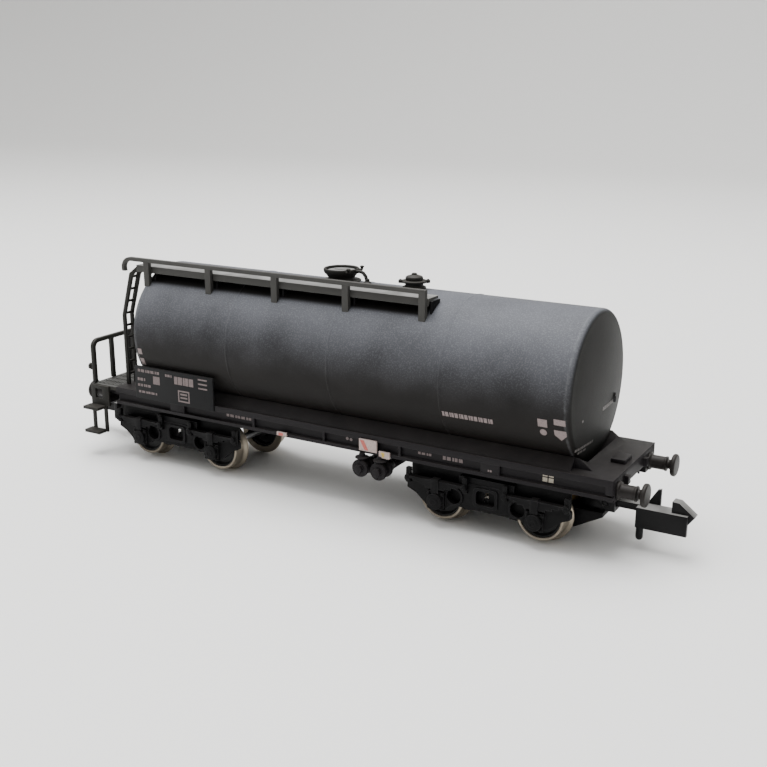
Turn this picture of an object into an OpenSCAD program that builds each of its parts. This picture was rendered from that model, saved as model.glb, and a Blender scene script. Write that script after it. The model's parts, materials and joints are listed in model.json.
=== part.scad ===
// Four-axle model tank wagon, 1:160 size, 9 mm gauge.
// X runs along the wagon, Z is up, and the wheel flanges stand on z = 0 under the middle of the model.

/* [Bogies and wheels] */
// Distance from the middle of the wagon to each bogie pivot
bogie_x = 23.17; // [21:0.1:26]
// Half of a bogie's wheelbase
half_wheelbase = 6.3; // [5.8:0.1:7]
// Radius over the wheel flanges, which is also the axle's height
flange_r = 3.44; // [3:0.02:3.5]
// Height of a wheel flange above its tread
flange_h = 0.49; // [0.4:0.01:0.6]
// Distance between the inner faces of a wheel pair
back_to_back = 7.4; // [7:0.1:7.6]
// Width of a wheel
wheel_w = 2.2; // [1.8:0.1:2.4]
// Radius of an axle between its wheels
axle_r = 0.55; // [0.4:0.05:0.7]
// Radius of the journal at each end of an axle
journal_r = 0.42; // [0.3:0.02:0.5]
// Radius of the bogie pivot screw's shank
pivot_r = 0.9; // [0.7:0.05:1.1]
// Thickness of a bogie side frame
side_frame_t = 0.8; // [0.6:0.05:1]

/* [Underframe] */
// Left end of the underframe, under the brake platform
frame_left = -36.3; // [-38:0.1:-35]
// Right end of the underframe
frame_right = 38.35; // [37:0.1:40]
// Width over the solebars
frame_w = 14.86; // [14:0.1:16]
// Height of the deck's top above the axles
deck_above_axle = 6.63; // [6.5:0.01:7]
// Depth of the solebars
solebar_h = 2.41; // [2:0.05:2.6]
// Length of a buffer from headstock to face
buffer_len = 3.3; // [2.8:0.1:4]
// Distance of each buffer from the middle line
buffer_y = 5.47; // [5:0.05:6]
// Height of the buffers
buffer_z = 8.4; // [8.2:0.05:8.8]

/* [Tank] */
// Outer radius of the tank
tank_r = 8.81; // [8.2:0.05:9]
// Length of the tank over its ends
tank_len = 63.6; // [58:0.2:65]
// Middle of the tank along the wagon
tank_x = 2.55; // [1:0.05:4]
// Depth that the tank's belly sinks below the deck's top
tank_sink = 0.68; // [0.5:0.01:0.75]
// Thickness of the tank's wall
tank_wall = 0.8; // [0.6:0.05:1.2]
// Length of each domed end, with its rounded rim
dome_len = 1.35; // [1.2:0.05:2]

/* [Walkway and ladder] */
// Length of the walkway plank past the tank's left end
plank_past = 0.85; // [0.6:0.05:1.2]
// Distance of the walkway's outer edge from the middle line
walk_y = 5.5; // [5:0.1:6]
// Width of the walkway plank, which stops short of the manhole
plank_w = 2.5; // [2:0.05:2.5]
// Distance between two railing posts
post_pitch = 10.47; // [9:0.05:11]
// Distance between two ladder rungs
rung_pitch = 1.72; // [1.5:0.02:2]
// Width of the ladder over its stringers
ladder_w = 1.8; // [1.6:0.1:2.6]

/* [Brake platform] */
// Length of the brake platform
platform_len = 4.36; // [4:0.02:5]
// Height of the platform railing above its floor
railing_h = 6.25; // [5:0.05:7]
// Length of a footstep along the wagon
step_len = 2.75; // [2.4:0.05:3.2]
// Depth of a footstep away from the wagon
step_depth = 1.5; // [1.2:0.1:1.8]

/* [Couplers] */
// Distance from the bogie's transom to the coupler's swing pin
tongue_len = 1.9; // [1.7:0.05:2.2]
// Distance from the coupler's swing pin to the tip of its beak
coupler_len = 12.4; // [12:0.05:13.5]
// Width of the coupler head
head_w = 3.2; // [2.8:0.1:3.4]

/* [Clearances] */
// Gap around a running shaft
shaft_gap = 0.06; // [0.03:0.01:0.09]
// Gap between two faces that move past each other
face_gap = 0.1; // [0.08:0.01:0.15]

/* [Hidden] */
$fn = 48;
eps = 0.01;

// Wheels and axles
axle_z = flange_r;
tread_r = flange_r - flange_h;
deck_z = axle_z + deck_above_axle;
wheel_in = back_to_back / 2;
wheel_out = wheel_in + wheel_w;
flange_t = 0.6;
tyre_t = 0.65;
hub_r = 1;
side_frame_in = wheel_out + 0.3;
side_frame_out = side_frame_in + side_frame_t;
journal_end = side_frame_out - 0.2;

// Bogie
bolster_z = axle_z + 2.76;
bolster_t = 0.8;
bolster_drop = 0.1;
wheel_clear = 0.62;
bolster_half = half_wheelbase - wheel_clear - sqrt(flange_r * flange_r - pow(bolster_z - bolster_drop - axle_z, 2));
pad_r = 3;
bogie_half = half_wheelbase + 4.05;
spring_half = 3.7;
spring_z = axle_z + 2.56;
leaf_t = 0.26;
leaf_step = 0.8;
box_w = 2.2;
spine_w = 3;
transom_x = half_wheelbase + axle_r + 0.55;
transom_t = 0.9;
transom_low = axle_z - 1.74;
swing_reach = transom_x + transom_t + tongue_len;
tongue_w = 4.4;
bush_wall = 0.5;
bush_r = pivot_r + shaft_gap + bush_wall;
screw_head_r = bush_r + 0.14;
screw_thread_r = pivot_r - 0.2;
screw_depth = 0.9;
shoe_gap = 0.1;
shoe_t = 0.9;
beam_x = half_wheelbase - tread_r - shoe_gap - 0.8;

// Coupler
pocket_z = axle_z + 1.46;
pocket_h = 1.8;
pocket_w = 3;
swing_pin_r = 0.6;
shank_h = 0.8;
shank_w = 1.6;
lift_x = 2.2;
trunnion_r = 0.3;
pocket_len = 3.4;
head_x = 5.9;
head_low = pocket_z - 2.1;
head_top = pocket_z + 0.3;
head_wall = 0.5;
beak_top = pocket_z + 1.6;
fin_h = 1.9;
trip_pin_r = 0.42;
trip_low = pocket_z - 3.7;

// Underframe
solebar_z = deck_z - solebar_h;
deck_t = 0.77;
web_in = 0.55;
lip_t = 0.42;
sill_z = deck_z - 1.67;
sill_w = 6.4;
cross_x = [frame_left + 6.8, -12, 12, frame_right - 7.35];
pad_z = bolster_z + bolster_t + 1.1;
boss_top = pad_z - face_gap;
deck_left = frame_left + 2.8;
rib_pitch = 10.85;
frame_mid = (frame_left + frame_right) / 2;
saddle_h = 1.35;
saddle_rise = tank_sink + saddle_h;
saddle_in = sqrt(2 * tank_r * saddle_rise - saddle_rise * saddle_rise);
saddle_out = frame_w / 2 - 0.53;
saddle_inset = 1.1;
saddle_top = 0.25;
saddle_foot = 2.15;
end_gap = 0.1;
headstock_t = 0.8;
headstock_low = deck_z - 1.75;
buffer_plate = 1.15;
frame_plate_shift = 0.6;
safety_pad_y = 3.3;
safety_pad_z = [8.5, 9.5];

// Tank
tank_z = deck_z + tank_r - tank_sink;
seam_h = 0.06;
seam_w = 0.35;
barrel_half = tank_len / 2 - dome_len;
knuckle_r = 0.6;
tank_right = tank_x + tank_len / 2;
tank_left = tank_x - tank_len / 2;
weight_len = tank_len - 19.6;
lug_y = 3.9;
lug_drop = 2;
weight_top = tank_z - 4.2;
weight_gap = 0.05;

// Fittings on the tank
manhole_x = -0.75;
manhole_r = 2.2;
manhole_wall = 0.4;
manhole_base_r = manhole_r + 0.35;
manhole_top = tank_z + tank_r + 1.62;
lid_z = manhole_top - 0.55;
clamp_count = 6;
valve_x = 9.7;
valve_flange_z = tank_z + tank_r + 0.74;
valve_neck_r = 1;
valve_flange_r = 1.55;
valve_flange_t = 0.3;
valve_dome_r = 1.15;

// Walkway and ladder
plank_left = tank_left - plank_past;
plank_t = 0.35;
plank_low = tank_z + tank_r - 0.16;
plank_top = plank_low + plank_t;
plank_lip = 0.9;
lip_w = 0.3;
plank_in = max(walk_y - plank_w, manhole_base_r + 0.02);
rail_z = tank_z + tank_r + 0.76;
rail_h = 0.5;
post_w = 0.9;
post_t = 0.6;
post_low = tank_z + drop_at(walk_y + post_t) - 0.8;
post_first = plank_left + 2.25;
post_count = 5;
post_last = post_first + (post_count - 1) * post_pitch;
walk_right = post_last + post_w / 2 + 0.1;
ladder_x = plank_left - 2.6;
ladder_lean_z = tank_z + 1.77;
ladder_top_x = plank_left - 1.1;
ladder_top_z = plank_low - 0.9;
stringer_w = 0.5;
stringer_t = 0.35;
rung_r = 0.18;
rung_top = ladder_top_z - 0.6;
rung_count = 1 + floor((rung_top - deck_z - 0.8) / rung_pitch);

// Brake platform
platform_right = deck_left;
platform_left = platform_right - platform_len;
platform_t = 0.6;
platform_w = frame_w;
tread_h = 0.07;
board_count = 10;
board_pitch = (platform_w - 0.8) / board_count;
rail_x = platform_left + 0.3;
rail_bar = 0.6;
step_z = [deck_z - 6.85, deck_z - 3.4];
step_t = 0.4;
strap_y = platform_w / 2;
strap_t = 0.3;
step_x = platform_left - 0.35;
gusset_x = [platform_left - 0.1, platform_left + 3.2];
gusset_low = step_z[1] + step_t;

// Fittings on the frame
board_x = deck_left + 4.8;
board_len = 13.4;
board_z = deck_z - 0.47;
board_h = 4.5;
board_t = 0.35;
board_y = max(frame_w / 2 + 0.77, drop_at(tank_z - board_z - board_h) + 0.3);
drain_x = [6.74, 9.3];
drain_z = solebar_z - 1.86;
drain_y = frame_w / 2 + 0.37;
drain_r = 0.85;
drain_flange_r = 1.12;
drain_tail = 3.2;
riser_top = sill_z;
placard_x = [6.4, 9.2, -5.9];
placard_w = [2.5, 1.5, 1.5];
placard_z = [0.34, -0.16, 0.14];
placard_h = [1.5, 0.85, 0.5];
placard_t = 0.25;
box_x = [frame_right - 2.3, frame_right - 0.6];
box_y = [-1.8, 0.75];
box_h = 0.5;

function drop_at(y) = sqrt(tank_r * tank_r - y * y);
function crown(r, depth, count) = [for (i = [0:count])
  let (big = (r * r + depth * depth) / (2 * depth), a = asin(r / big) * i / count)
    [big * sin(a), depth - big + big * cos(a)]];
function round_rim(r, k, count) = [for (i = [0:count]) let (a = 90 - 90 * i / count)
  [r - k + k * cos(a), k * sin(a)]];

module along_x(x, y, z, r, len) {
  translate([x, y, z]) rotate([0, 90, 0]) cylinder(r = r, h = len);
}
module along_y(x, y, z, r, len) {
  translate([x, y + len, z]) rotate([90, 0, 0]) cylinder(r = r, h = len);
}
module plate_xz(y, t) {
  translate([0, y + t, 0]) rotate([90, 0, 0]) linear_extrude(t) children();
}
module plate_yz(x, t) {
  translate([x, 0, 0]) rotate([90, 0, 90]) linear_extrude(t) children();
}
module box(low, high) {
  translate(low) cube(high - low);
}
module both_sides() {
  children();
  mirror([0, 1, 0]) children();
}
module tank_hollow(grow = 0) {
  along_x(tank_left - end_gap, 0, tank_z, tank_r + grow, tank_len + 2 * end_gap, $fn = 96);
}
module at_bogie(side) {
  translate([side * bogie_x, 0, 0]) rotate([0, 0, side > 0 ? 0 : 180]) children();
}

// ---------------------------------------------------------------- tank

module tank_barrel() {
  color("dimgray") difference() {
    union() {
      along_x(tank_x - barrel_half, 0, tank_z, tank_r, 2 * barrel_half, $fn = 96);
      for (i = [-1:1])
        along_x(tank_x + i * barrel_half / 2 - seam_w / 2, 0, tank_z, tank_r + seam_h, seam_w, $fn = 96);
    }
    along_x(tank_x - barrel_half - 1, 0, tank_z, tank_r - tank_wall, 2 * barrel_half + 2, $fn = 96);
  }
}

module tank_end() {
  crown_depth = dome_len - knuckle_r;
  outer = concat(
    [for (p = crown(tank_r - knuckle_r, crown_depth, 12)) [p[0], p[1] + knuckle_r]],
    [for (i = [1:8]) round_rim(tank_r, knuckle_r, 8)[i]]);
  bore = tank_r - tank_wall;
  spigot = [[tank_r, 0], [bore, 0], [bore, -1.5], [bore - tank_wall, -1.5],
    [bore - tank_wall, knuckle_r - tank_wall / 2], [0, dome_len - tank_wall]];
  color("dimgray") rotate([0, 90, 0]) union() {
    rotate_extrude($fn = 96) polygon(concat(outer, spigot));
    translate([lug_drop, lug_y, 0]) {
      translate([0.1, -0.2, dome_len - 0.75]) cube([0.7, 0.4, 0.9]);
      translate([-0.1, 0, dome_len - 0.75]) cylinder(r = 0.25, h = 0.85);
    }
  }
}

module tank_end_right() {
  translate([tank_right - dome_len, 0, tank_z]) tank_end();
}

module tank_end_left() {
  translate([tank_left + dome_len, 0, tank_z]) mirror([1, 0, 0]) tank_end();
}

module ballast_weight() {
  color("darkgray") intersection() {
    along_x(tank_x - weight_len / 2, 0, tank_z, tank_r - tank_wall - weight_gap, weight_len, $fn = 96);
    box([tank_x - weight_len, -tank_r, 0], [tank_x + weight_len, tank_r, weight_top]);
  }
}

module manhole_neck() {
  color("dimgray") difference() {
    union() {
      translate([manhole_x, 0, tank_z]) cylinder(r = manhole_r, h = manhole_top - tank_z);
      translate([manhole_x, 0, tank_z]) cylinder(r = manhole_base_r, h = tank_r + 0.25);
    }
    translate([manhole_x, 0, tank_z]) cylinder(r = manhole_r - manhole_wall, h = 20);
    tank_hollow();
  }
}

module manhole_lid() {
  color("slategray") translate([manhole_x, 0, 0]) {
    difference() {
      translate([0, 0, tank_z]) cylinder(r = manhole_r - manhole_wall, h = lid_z - tank_z);
      translate([-manhole_x, 0, 0]) tank_hollow();
    }
    translate([0, 0, lid_z]) cylinder(r1 = 1.2, r2 = 0.9, h = 0.2);
    box([-1.5, -0.15, lid_z], [1.5, 0.15, lid_z + 0.35]);
  }
}

module manhole_clamps() {
  color("dimgray") translate([manhole_x, 0, 0]) {
    for (i = [0:clamp_count - 1]) rotate([0, 0, 60 * i]) {
      translate([manhole_r, -0.3, manhole_top - 0.9]) cube([0.55, 0.6, 0.9]);
      translate([manhole_r + 0.28, 0, manhole_top]) cylinder(r = 0.24, h = 0.3);
    }
    box([manhole_r + 0.55, -0.35, manhole_top - 0.75], [manhole_r + 1.9, 0.35, manhole_top - 0.35]);
    translate([manhole_r + 1.9, 0, manhole_top - 0.95]) cylinder(r = 0.5, h = 0.75);
  }
}

module vent_valve_body() {
  color("dimgray") {
    difference() {
      translate([valve_x, 0, tank_z]) {
        cylinder(r = valve_neck_r, h = valve_flange_z - tank_z);
        cylinder(r = valve_neck_r + 0.5, h = tank_r + 0.3);
      }
      tank_hollow();
    }
    translate([valve_x, 0, valve_flange_z]) {
      cylinder(r = valve_flange_r, h = valve_flange_t);
      for (a = [0, 180]) rotate([0, 0, a + 30]) translate([valve_flange_r - 0.15, -0.3, 0])
        cube([0.55, 0.6, valve_flange_t]);
    }
  }
}

module vent_valve_cap() {
  color("dimgray") translate([valve_x, 0, valve_flange_z + valve_flange_t]) {
    rotate_extrude() polygon(concat([for (p = crown(valve_dome_r, 0.38, 8)) [p[0], p[1] + 0.35]],
      [[valve_dome_r, 0], [0, 0]]));
    cylinder(r = 0.3, h = 0.88);
  }
}

// ---------------------------------------------------------------- walkway and ladder

module walkway_plank() {
  color("slategray") {
    box([plank_left, -walk_y, plank_low], [walk_right, -plank_in, plank_top]);
    box([plank_left, -walk_y, plank_top - plank_lip], [walk_right, -walk_y + lip_w, plank_top]);
  }
}

module walkway_rail() {
  color("slategray") difference() {
    union() {
      for (i = [0:post_count - 1])
        box([post_first + i * post_pitch - post_w / 2, -walk_y - post_t, post_low],
            [post_first + i * post_pitch + post_w / 2, -walk_y, rail_z + rail_h]);
      box([plank_left - 0.6, -walk_y - post_t, rail_z], [post_last + post_w / 2, -walk_y, rail_z + rail_h]);
      plate_xz(-walk_y - post_t, post_t) rail_curl();
    }
    tank_hollow();
  }
}

module rail_curl() {
  turn = 1.5;
  translate([plank_left - 0.6, rail_z + rail_h - turn]) difference() {
    circle(r = turn);
    circle(r = turn - rail_h);
    translate([0, -turn]) square([turn, 2 * turn]);
    translate([-turn, -turn]) square([2 * turn, turn * 0.7]);
  }
}

module walkway_brackets() {
  outer = walk_y - lip_w;
  inner = plank_in + 0.1;
  color("darkslategray") difference() {
    for (i = [0:post_count - 1], side = [-1, 1])
      translate([post_first + i * post_pitch + side * 0.75, 0, 0]) plate_yz(-0.12, 0.24)
        polygon([[-outer, plank_low], [-inner, plank_low], [-inner, plank_low - 0.6],
          [-outer, tank_z + drop_at(outer) - 1]]);
    tank_hollow();
  }
}

module ladder_side(y) {
  plate_xz(y - stringer_t / 2, stringer_t) {
    polygon([[ladder_x - stringer_w, deck_z], [ladder_x, deck_z], [ladder_x, ladder_lean_z],
      [ladder_top_x + stringer_w / 2, ladder_top_z - 0.3], [plank_left, ladder_top_z + 0.5],
      [plank_left, ladder_top_z + 1.0], [ladder_top_x - stringer_w / 2, ladder_top_z],
      [ladder_x - stringer_w, ladder_lean_z]]);
  }
}

module ladder() {
  color("slategray") {
    ladder_side(-walk_y + stringer_t / 2);
    ladder_side(-walk_y + ladder_w - stringer_t / 2);
    for (i = [0:rung_count - 1]) {
      z = rung_top - i * rung_pitch;
      lean = max(0, z - ladder_lean_z) * (ladder_top_x - ladder_x) / (ladder_top_z - ladder_lean_z);
      along_y(ladder_x - stringer_w / 2 + lean, -walk_y + stringer_t - eps, z, rung_r,
        ladder_w - 2 * stringer_t + 2 * eps);
    }
  }
}

// ---------------------------------------------------------------- underframe

module solebar() {
  y = frame_w / 2;
  box([deck_left, -y, deck_z - lip_t], [frame_right, -y + 1.6, deck_z]);
  box([deck_left, -y, solebar_z], [frame_right, -y + 1.3, solebar_z + lip_t]);
  box([deck_left, -y + web_in, solebar_z], [frame_right, -y + web_in + 0.6, deck_z]);
  for (i = [-1:1])
    box([frame_mid + i * rib_pitch - 0.15, -y + 0.1, solebar_z],
        [frame_mid + i * rib_pitch + 0.15, -y + web_in, deck_z]);
  for (side = [-1, 1])
    box([side * bogie_x + frame_plate_shift - 1.2, -y + 0.12, solebar_z],
        [side * bogie_x + frame_plate_shift + 1.2, -y + web_in, deck_z]);
}

module saddle() {
  left = tank_left + saddle_inset;
  right = tank_right - saddle_inset;
  translate([left, 0, 0]) rotate([90, 0, 90]) linear_extrude(right - left)
    polygon([[-saddle_out, deck_z - eps], [saddle_out, deck_z - eps], [saddle_in, deck_z + saddle_h],
      [-saddle_in, deck_z + saddle_h]]);
  for (end = [[right, 1], [left, -1]])
    translate([end[0], saddle_in, 0]) rotate([90, 0, 0]) linear_extrude(2 * saddle_in)
      polygon([[0, deck_z - eps], [end[1] * saddle_foot, deck_z - eps],
        [end[1] * saddle_top, deck_z + saddle_h], [0, deck_z + saddle_h]]);
}

module underframe() {
  y = frame_w / 2;
  color("darkslategray") difference() {
    union() {
      box([deck_left, -y, deck_z - deck_t], [frame_right, y, deck_z]);
      both_sides() solebar();
      box([frame_left, -sill_w / 2, sill_z], [frame_right, sill_w / 2, deck_z - platform_t]);
      box([frame_right - headstock_t, -y, headstock_low], [frame_right, y, deck_z]);
      box([frame_left, -y + 0.5, headstock_low], [frame_left + headstock_t, y - 0.5, deck_z - platform_t]);
      box([frame_left, -y + 0.5, deck_z - 1.2], [deck_left + 1, y - 0.5, deck_z - platform_t]);
      for (s = [-1, 1]) {
        box([frame_right - headstock_t, s * buffer_y - buffer_plate, buffer_z - buffer_plate],
            [frame_right, s * buffer_y + buffer_plate, deck_z - 0.1]);
        box([frame_left, s * buffer_y - buffer_plate, buffer_z - buffer_plate],
            [frame_left + headstock_t, s * buffer_y + buffer_plate, deck_z - platform_t]);
      }
      for (x = cross_x)
        box([x - 0.35, -y + 1, sill_z - 0.4], [x + 0.35, y - 1, deck_z - deck_t + 0.1]);
      for (side = [-1, 1]) translate([side * bogie_x, 0, pad_z]) cylinder(r = pad_r, h = 1);
      for (y = [-safety_pad_y, safety_pad_y])
        box([frame_right, y - 0.35, safety_pad_z[0]], [frame_right + 0.5, y + 0.35, safety_pad_z[1]]);
      saddle();
    }
    tank_hollow(seam_h + 0.02);
    for (side = [-1, 1]) translate([side * bogie_x, 0, pad_z - 1])
      cylinder(r = screw_thread_r, h = 1 + screw_depth);
  }
}

module buffer(x, y, way) {
  head_r = 1.33;
  sleeve_len = buffer_len * 0.62;
  color("dimgray") translate([x, y, buffer_z]) rotate([0, way * 90, 0]) rotate_extrude() polygon(concat(
    [[0, 0], [1.05, 0], [1.05, 0.3], [0.85, 0.35], [0.8, sleeve_len], [0.55, sleeve_len],
      [0.55, buffer_len - 0.75], [head_r, buffer_len - 0.5]],
    [for (i = [6:-1:0]) round_rim(head_r, 0.12, 6)[i] + [0, buffer_len - 0.12]], [[0, buffer_len]]));
}

module buffer_right_near() buffer(frame_right, -buffer_y, 1);
module buffer_right_far() buffer(frame_right, buffer_y, 1);
module buffer_left_near() buffer(frame_left, -buffer_y, -1);
module buffer_left_far() buffer(frame_left, buffer_y, -1);

module deck_box() {
  color("darkslategray") box([box_x[0], box_y[0], deck_z], [box_x[1], box_y[1], deck_z + box_h]);
}

// ---------------------------------------------------------------- brake platform

module brake_platform() {
  color("darkslategray") {
    box([platform_left, -platform_w / 2, deck_z - platform_t],
        [platform_right, platform_w / 2, deck_z - tread_h]);
    for (i = [0:board_count - 1])
      box([platform_left + 0.5, -platform_w / 2 + 0.6 + i * board_pitch, deck_z - tread_h],
          [platform_right - 0.3, -platform_w / 2 + 0.2 + (i + 1) * board_pitch, deck_z]);
  }
}

module railing_outline(half, high, corner) {
  translate([-half, 0]) square([2 * half, high - corner]);
  translate([corner - half, 0]) square([2 * (half - corner), high]);
  for (s = [-1, 1]) translate([s * (half - corner), high - corner]) circle(r = corner);
}

module platform_railing() {
  half = platform_w / 2;
  color("slategray") translate([0, 0, deck_z]) plate_yz(rail_x - rail_bar / 2, rail_bar) {
    difference() {
      railing_outline(half, railing_h, 1.2);
      railing_outline(half - rail_bar, railing_h - rail_bar, 0.7);
      translate([-half + rail_bar, -1]) square([2 * half - 2 * rail_bar, 1.5]);
    }
    for (i = [-1:1]) translate([i * (half - rail_bar / 2) / 2 - rail_bar / 2, 0])
      square([rail_bar, railing_h - rail_bar / 2]);
  }
}

module footsteps() {
  y = strap_y;
  color("slategray") {
    plate_xz(-y - strap_t, strap_t) difference() {
      translate([gusset_x[0], gusset_low]) square([gusset_x[1] - gusset_x[0], deck_z - 0.15 - gusset_low]);
      translate([gusset_x[0] + 0.8, gusset_low + 0.95]) square([1.3, 1.4]);
    }
    for (x = [gusset_x[0], gusset_x[0] + 2.2])
      box([x, -y - strap_t, step_z[0]], [x + 0.5, -y, gusset_low + 0.1]);
    for (z = step_z)
      box([step_x, -y - strap_t - step_depth, z], [step_x + step_len, -y - strap_t + eps, z + step_t]);
  }
}

module footsteps_near() footsteps();
module footsteps_far() mirror([0, 1, 0]) footsteps();

module lamp_bracket() {
  z = deck_z + 2.2;
  color("slategray") for (s = [-1, 1]) {
    box([rail_x - rail_bar / 2 - 0.5, s * (platform_w / 2 - 0.55) - 0.3, z - 0.4],
        [rail_x - rail_bar / 2, s * (platform_w / 2 - 0.55) + 0.3, z + 0.4]);
    along_x(rail_x - rail_bar / 2 - 0.75, s * (platform_w / 2 - 0.55), z, 0.45, 0.3);
  }
}

// ---------------------------------------------------------------- fittings on the frame

module signboard() {
  color("dimgray") {
    box([board_x, -board_y - board_t, board_z], [board_x + board_len, -board_y, board_z + board_h]);
    for (x = [board_x + 2, board_x + board_len - 2.6])
      box([x, -board_y - eps, board_z + 0.05], [x + 0.6, -frame_w / 2, deck_z]);
  }
}

module signboard_near() signboard();
module signboard_far() mirror([0, 1, 0]) signboard();

module drain_valves() {
  color("dimgray") for (x = drain_x) {
    along_y(x, -drain_y, drain_z, drain_r, drain_tail);
    along_y(x, -drain_y - 0.35, drain_z, drain_flange_r, 0.45);
    along_y(x, -drain_y + 1.1, drain_z, drain_flange_r, 0.4);
    translate([x, -drain_y - 0.3, drain_z]) rotate([90, 0, 0]) cylinder(r = 0.6, h = 0.5, $fn = 6);
    translate([x, -drain_y + 0.75, drain_z]) cylinder(r = 0.38, h = solebar_z - drain_z);
    translate([x, -drain_y + 0.75, drain_z + drain_flange_r + 0.1]) cylinder(r = 0.85, h = 0.18);
  }
}

module drain_valves_near() drain_valves();
module drain_valves_far() mirror([0, 1, 0]) drain_valves();

module drain_pipes() {
  inner = drain_y - drain_tail;
  color("dimgray") for (x = drain_x) {
    along_y(x, -inner, drain_z, drain_r - 0.2, 2 * inner);
    translate([x, 0, drain_z]) cylinder(r = drain_r - 0.1, h = riser_top - drain_z);
  }
}

module placards() {
  y = frame_w / 2;
  color("whitesmoke") {
    for (i = [0:len(placard_x) - 1])
      box([placard_x[i], -y - placard_t, solebar_z + placard_z[i]],
          [placard_x[i] + placard_w[i], -y, solebar_z + placard_z[i] + placard_h[i]]);
  }
}

module placards_near() placards();
module placards_far() mirror([0, 1, 0]) placards();

// ---------------------------------------------------------------- bogies

module side_frame_outline() {
  difference() {
    for (s = [-1, 1]) translate([0, axle_z]) scale([s, 1]) polygon([[-eps, -0.34],
      [half_wheelbase - 1.9, -0.34], [half_wheelbase - 1.1, -0.94],
      [half_wheelbase + 1.5, -0.84], [half_wheelbase + 2.9, 0.36],
      [bogie_half, 0.86], [bogie_half, 1.66], [bogie_half - 0.8, 2.26], [3.1, 2.26],
      [2.6, bolster_z - axle_z + 0.1], [-eps, bolster_z - axle_z + 0.1]]);
    translate([-1.25, axle_z + 0.46]) square([2.5, 1.8]);
    for (s = [-1, 1]) translate([s * (half_wheelbase - 2.25), axle_z + 0.86]) circle(r = 0.95);
  }
}

module axlebox() {
  y = side_frame_out;
  box([-box_w / 2, -y - 0.45, axle_z - 1.05], [box_w / 2, -y + 0.05, axle_z + 1.15]);
  along_y(0, -y - 0.9, axle_z, 0.95, 0.6);
  along_y(0, -y - 1.0, axle_z, 0.5, 0.2);
  for (a = [45:90:315])
    along_y(1.25 * cos(a), -y - 0.6, axle_z + 1.25 * sin(a), 0.2, 0.4);
  for (i = [0:3]) box([-spring_half + i * leaf_step, -y - 0.65, spring_z - (i + 1) * leaf_t],
    [spring_half - i * leaf_step, -y + 0.05, spring_z - i * leaf_t]);
  box([-0.45, -y - 0.8, axle_z + 1.1], [0.45, -y + 0.05, spring_z + 0.12]);
  for (s = [-1, 1]) along_y(s * spring_half, -y - 0.75, spring_z - 0.15, 0.34, 0.8);
}

module bogie_frame() {
  color([0.12, 0.12, 0.13]) difference() {
    union() {
      both_sides() {
        plate_xz(-side_frame_out, side_frame_t) side_frame_outline();
        for (s = [-1, 1]) translate([s * half_wheelbase, 0, 0]) axlebox();
      }
      box([-bolster_half, -side_frame_out + 0.1, bolster_z - bolster_drop],
          [bolster_half, side_frame_out - 0.1, bolster_z + bolster_t]);
      translate([0, 0, bolster_z]) cylinder(r = pad_r - 0.4, h = boss_top - bolster_z);
      box([0, -spine_w / 2, bolster_z], [transom_x + transom_t, spine_w / 2, bolster_z + 0.6]);
      box([transom_x, -tongue_w / 2, transom_low], [transom_x + transom_t, tongue_w / 2, bolster_z + 0.6]);
      tongue();
    }
    translate([0, 0, bolster_z - 1]) cylinder(r = bush_r, h = 4);
    for (s = [-1, 1])
      along_y(s * half_wheelbase, -side_frame_out + 0.12, axle_z, journal_r + shaft_gap,
        2 * side_frame_out - 0.24);
  }
}

module tongue() {
  low = pocket_z - pocket_h / 2 - face_gap;
  high = pocket_z + pocket_h / 2 + face_gap;
  out = swing_reach + 2.3;
  plate_xz(-tongue_w / 2, tongue_w)
    polygon([[transom_x, transom_low], [transom_x + 1.6, transom_low - 0.2], [out, low - 0.5], [out, low],
      [transom_x, low]]);
  box([transom_x, -spine_w / 2, high], [swing_reach + 1.4, spine_w / 2, bolster_z + 0.6]);
  translate([swing_reach, 0, low - 0.1]) cylinder(r = swing_pin_r, h = high - low + 0.2);
}

module bogie_frame_right() at_bogie(1) bogie_frame();
module bogie_frame_left() at_bogie(-1) bogie_frame();

module pivot_bush() {
  color("goldenrod") translate([0, 0, bolster_z - 0.1]) difference() {
    cylinder(r = bush_r, h = boss_top - bolster_z + 0.1);
    translate([0, 0, -1]) cylinder(r = pivot_r + shaft_gap, h = 5);
  }
}

module pivot_bush_right() at_bogie(1) pivot_bush();
module pivot_bush_left() at_bogie(-1) pivot_bush();

module pivot_screw() {
  color("silver") difference() {
    union() {
      translate([0, 0, bolster_z - 0.75]) cylinder(r = screw_head_r, h = 0.55);
      translate([0, 0, bolster_z - 0.3]) cylinder(r = pivot_r, h = pad_z - bolster_z + 0.3);
      translate([0, 0, pad_z - eps]) cylinder(r = screw_thread_r, h = screw_depth - 0.05);
    }
    box([-2, -0.18, bolster_z - 1], [2, 0.18, bolster_z - 0.5]);
  }
}

module pivot_screw_right() at_bogie(1) pivot_screw();
module pivot_screw_left() at_bogie(-1) pivot_screw();

module brake_gear() {
  face = tread_r + shoe_gap;
  color("black") for (s = [-1, 1]) {
    for (t = [-1, 1]) {
      y = t * (wheel_out - 0.75);
      intersection() {
        difference() {
          along_y(s * half_wheelbase, y - 0.5, axle_z, face + shoe_t, 1);
          along_y(s * half_wheelbase, y - 1, axle_z, face, 2);
        }
        box([min(s * half_wheelbase, s), y - 1, axle_z - 1.1],
          [max(s * half_wheelbase, s), y + 1, axle_z + 1.1]);
      }
      box([s * beam_x - 0.2, y - 0.4, axle_z - 0.2], [s * beam_x + 0.2, y + 0.4, bolster_z - 0.1]);
    }
    along_y(s * beam_x, -wheel_out + 0.5, axle_z, 0.22, 2 * wheel_out - 1);
  }
}

module brake_gear_right() at_bogie(1) brake_gear();
module brake_gear_left() at_bogie(-1) brake_gear();

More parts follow.
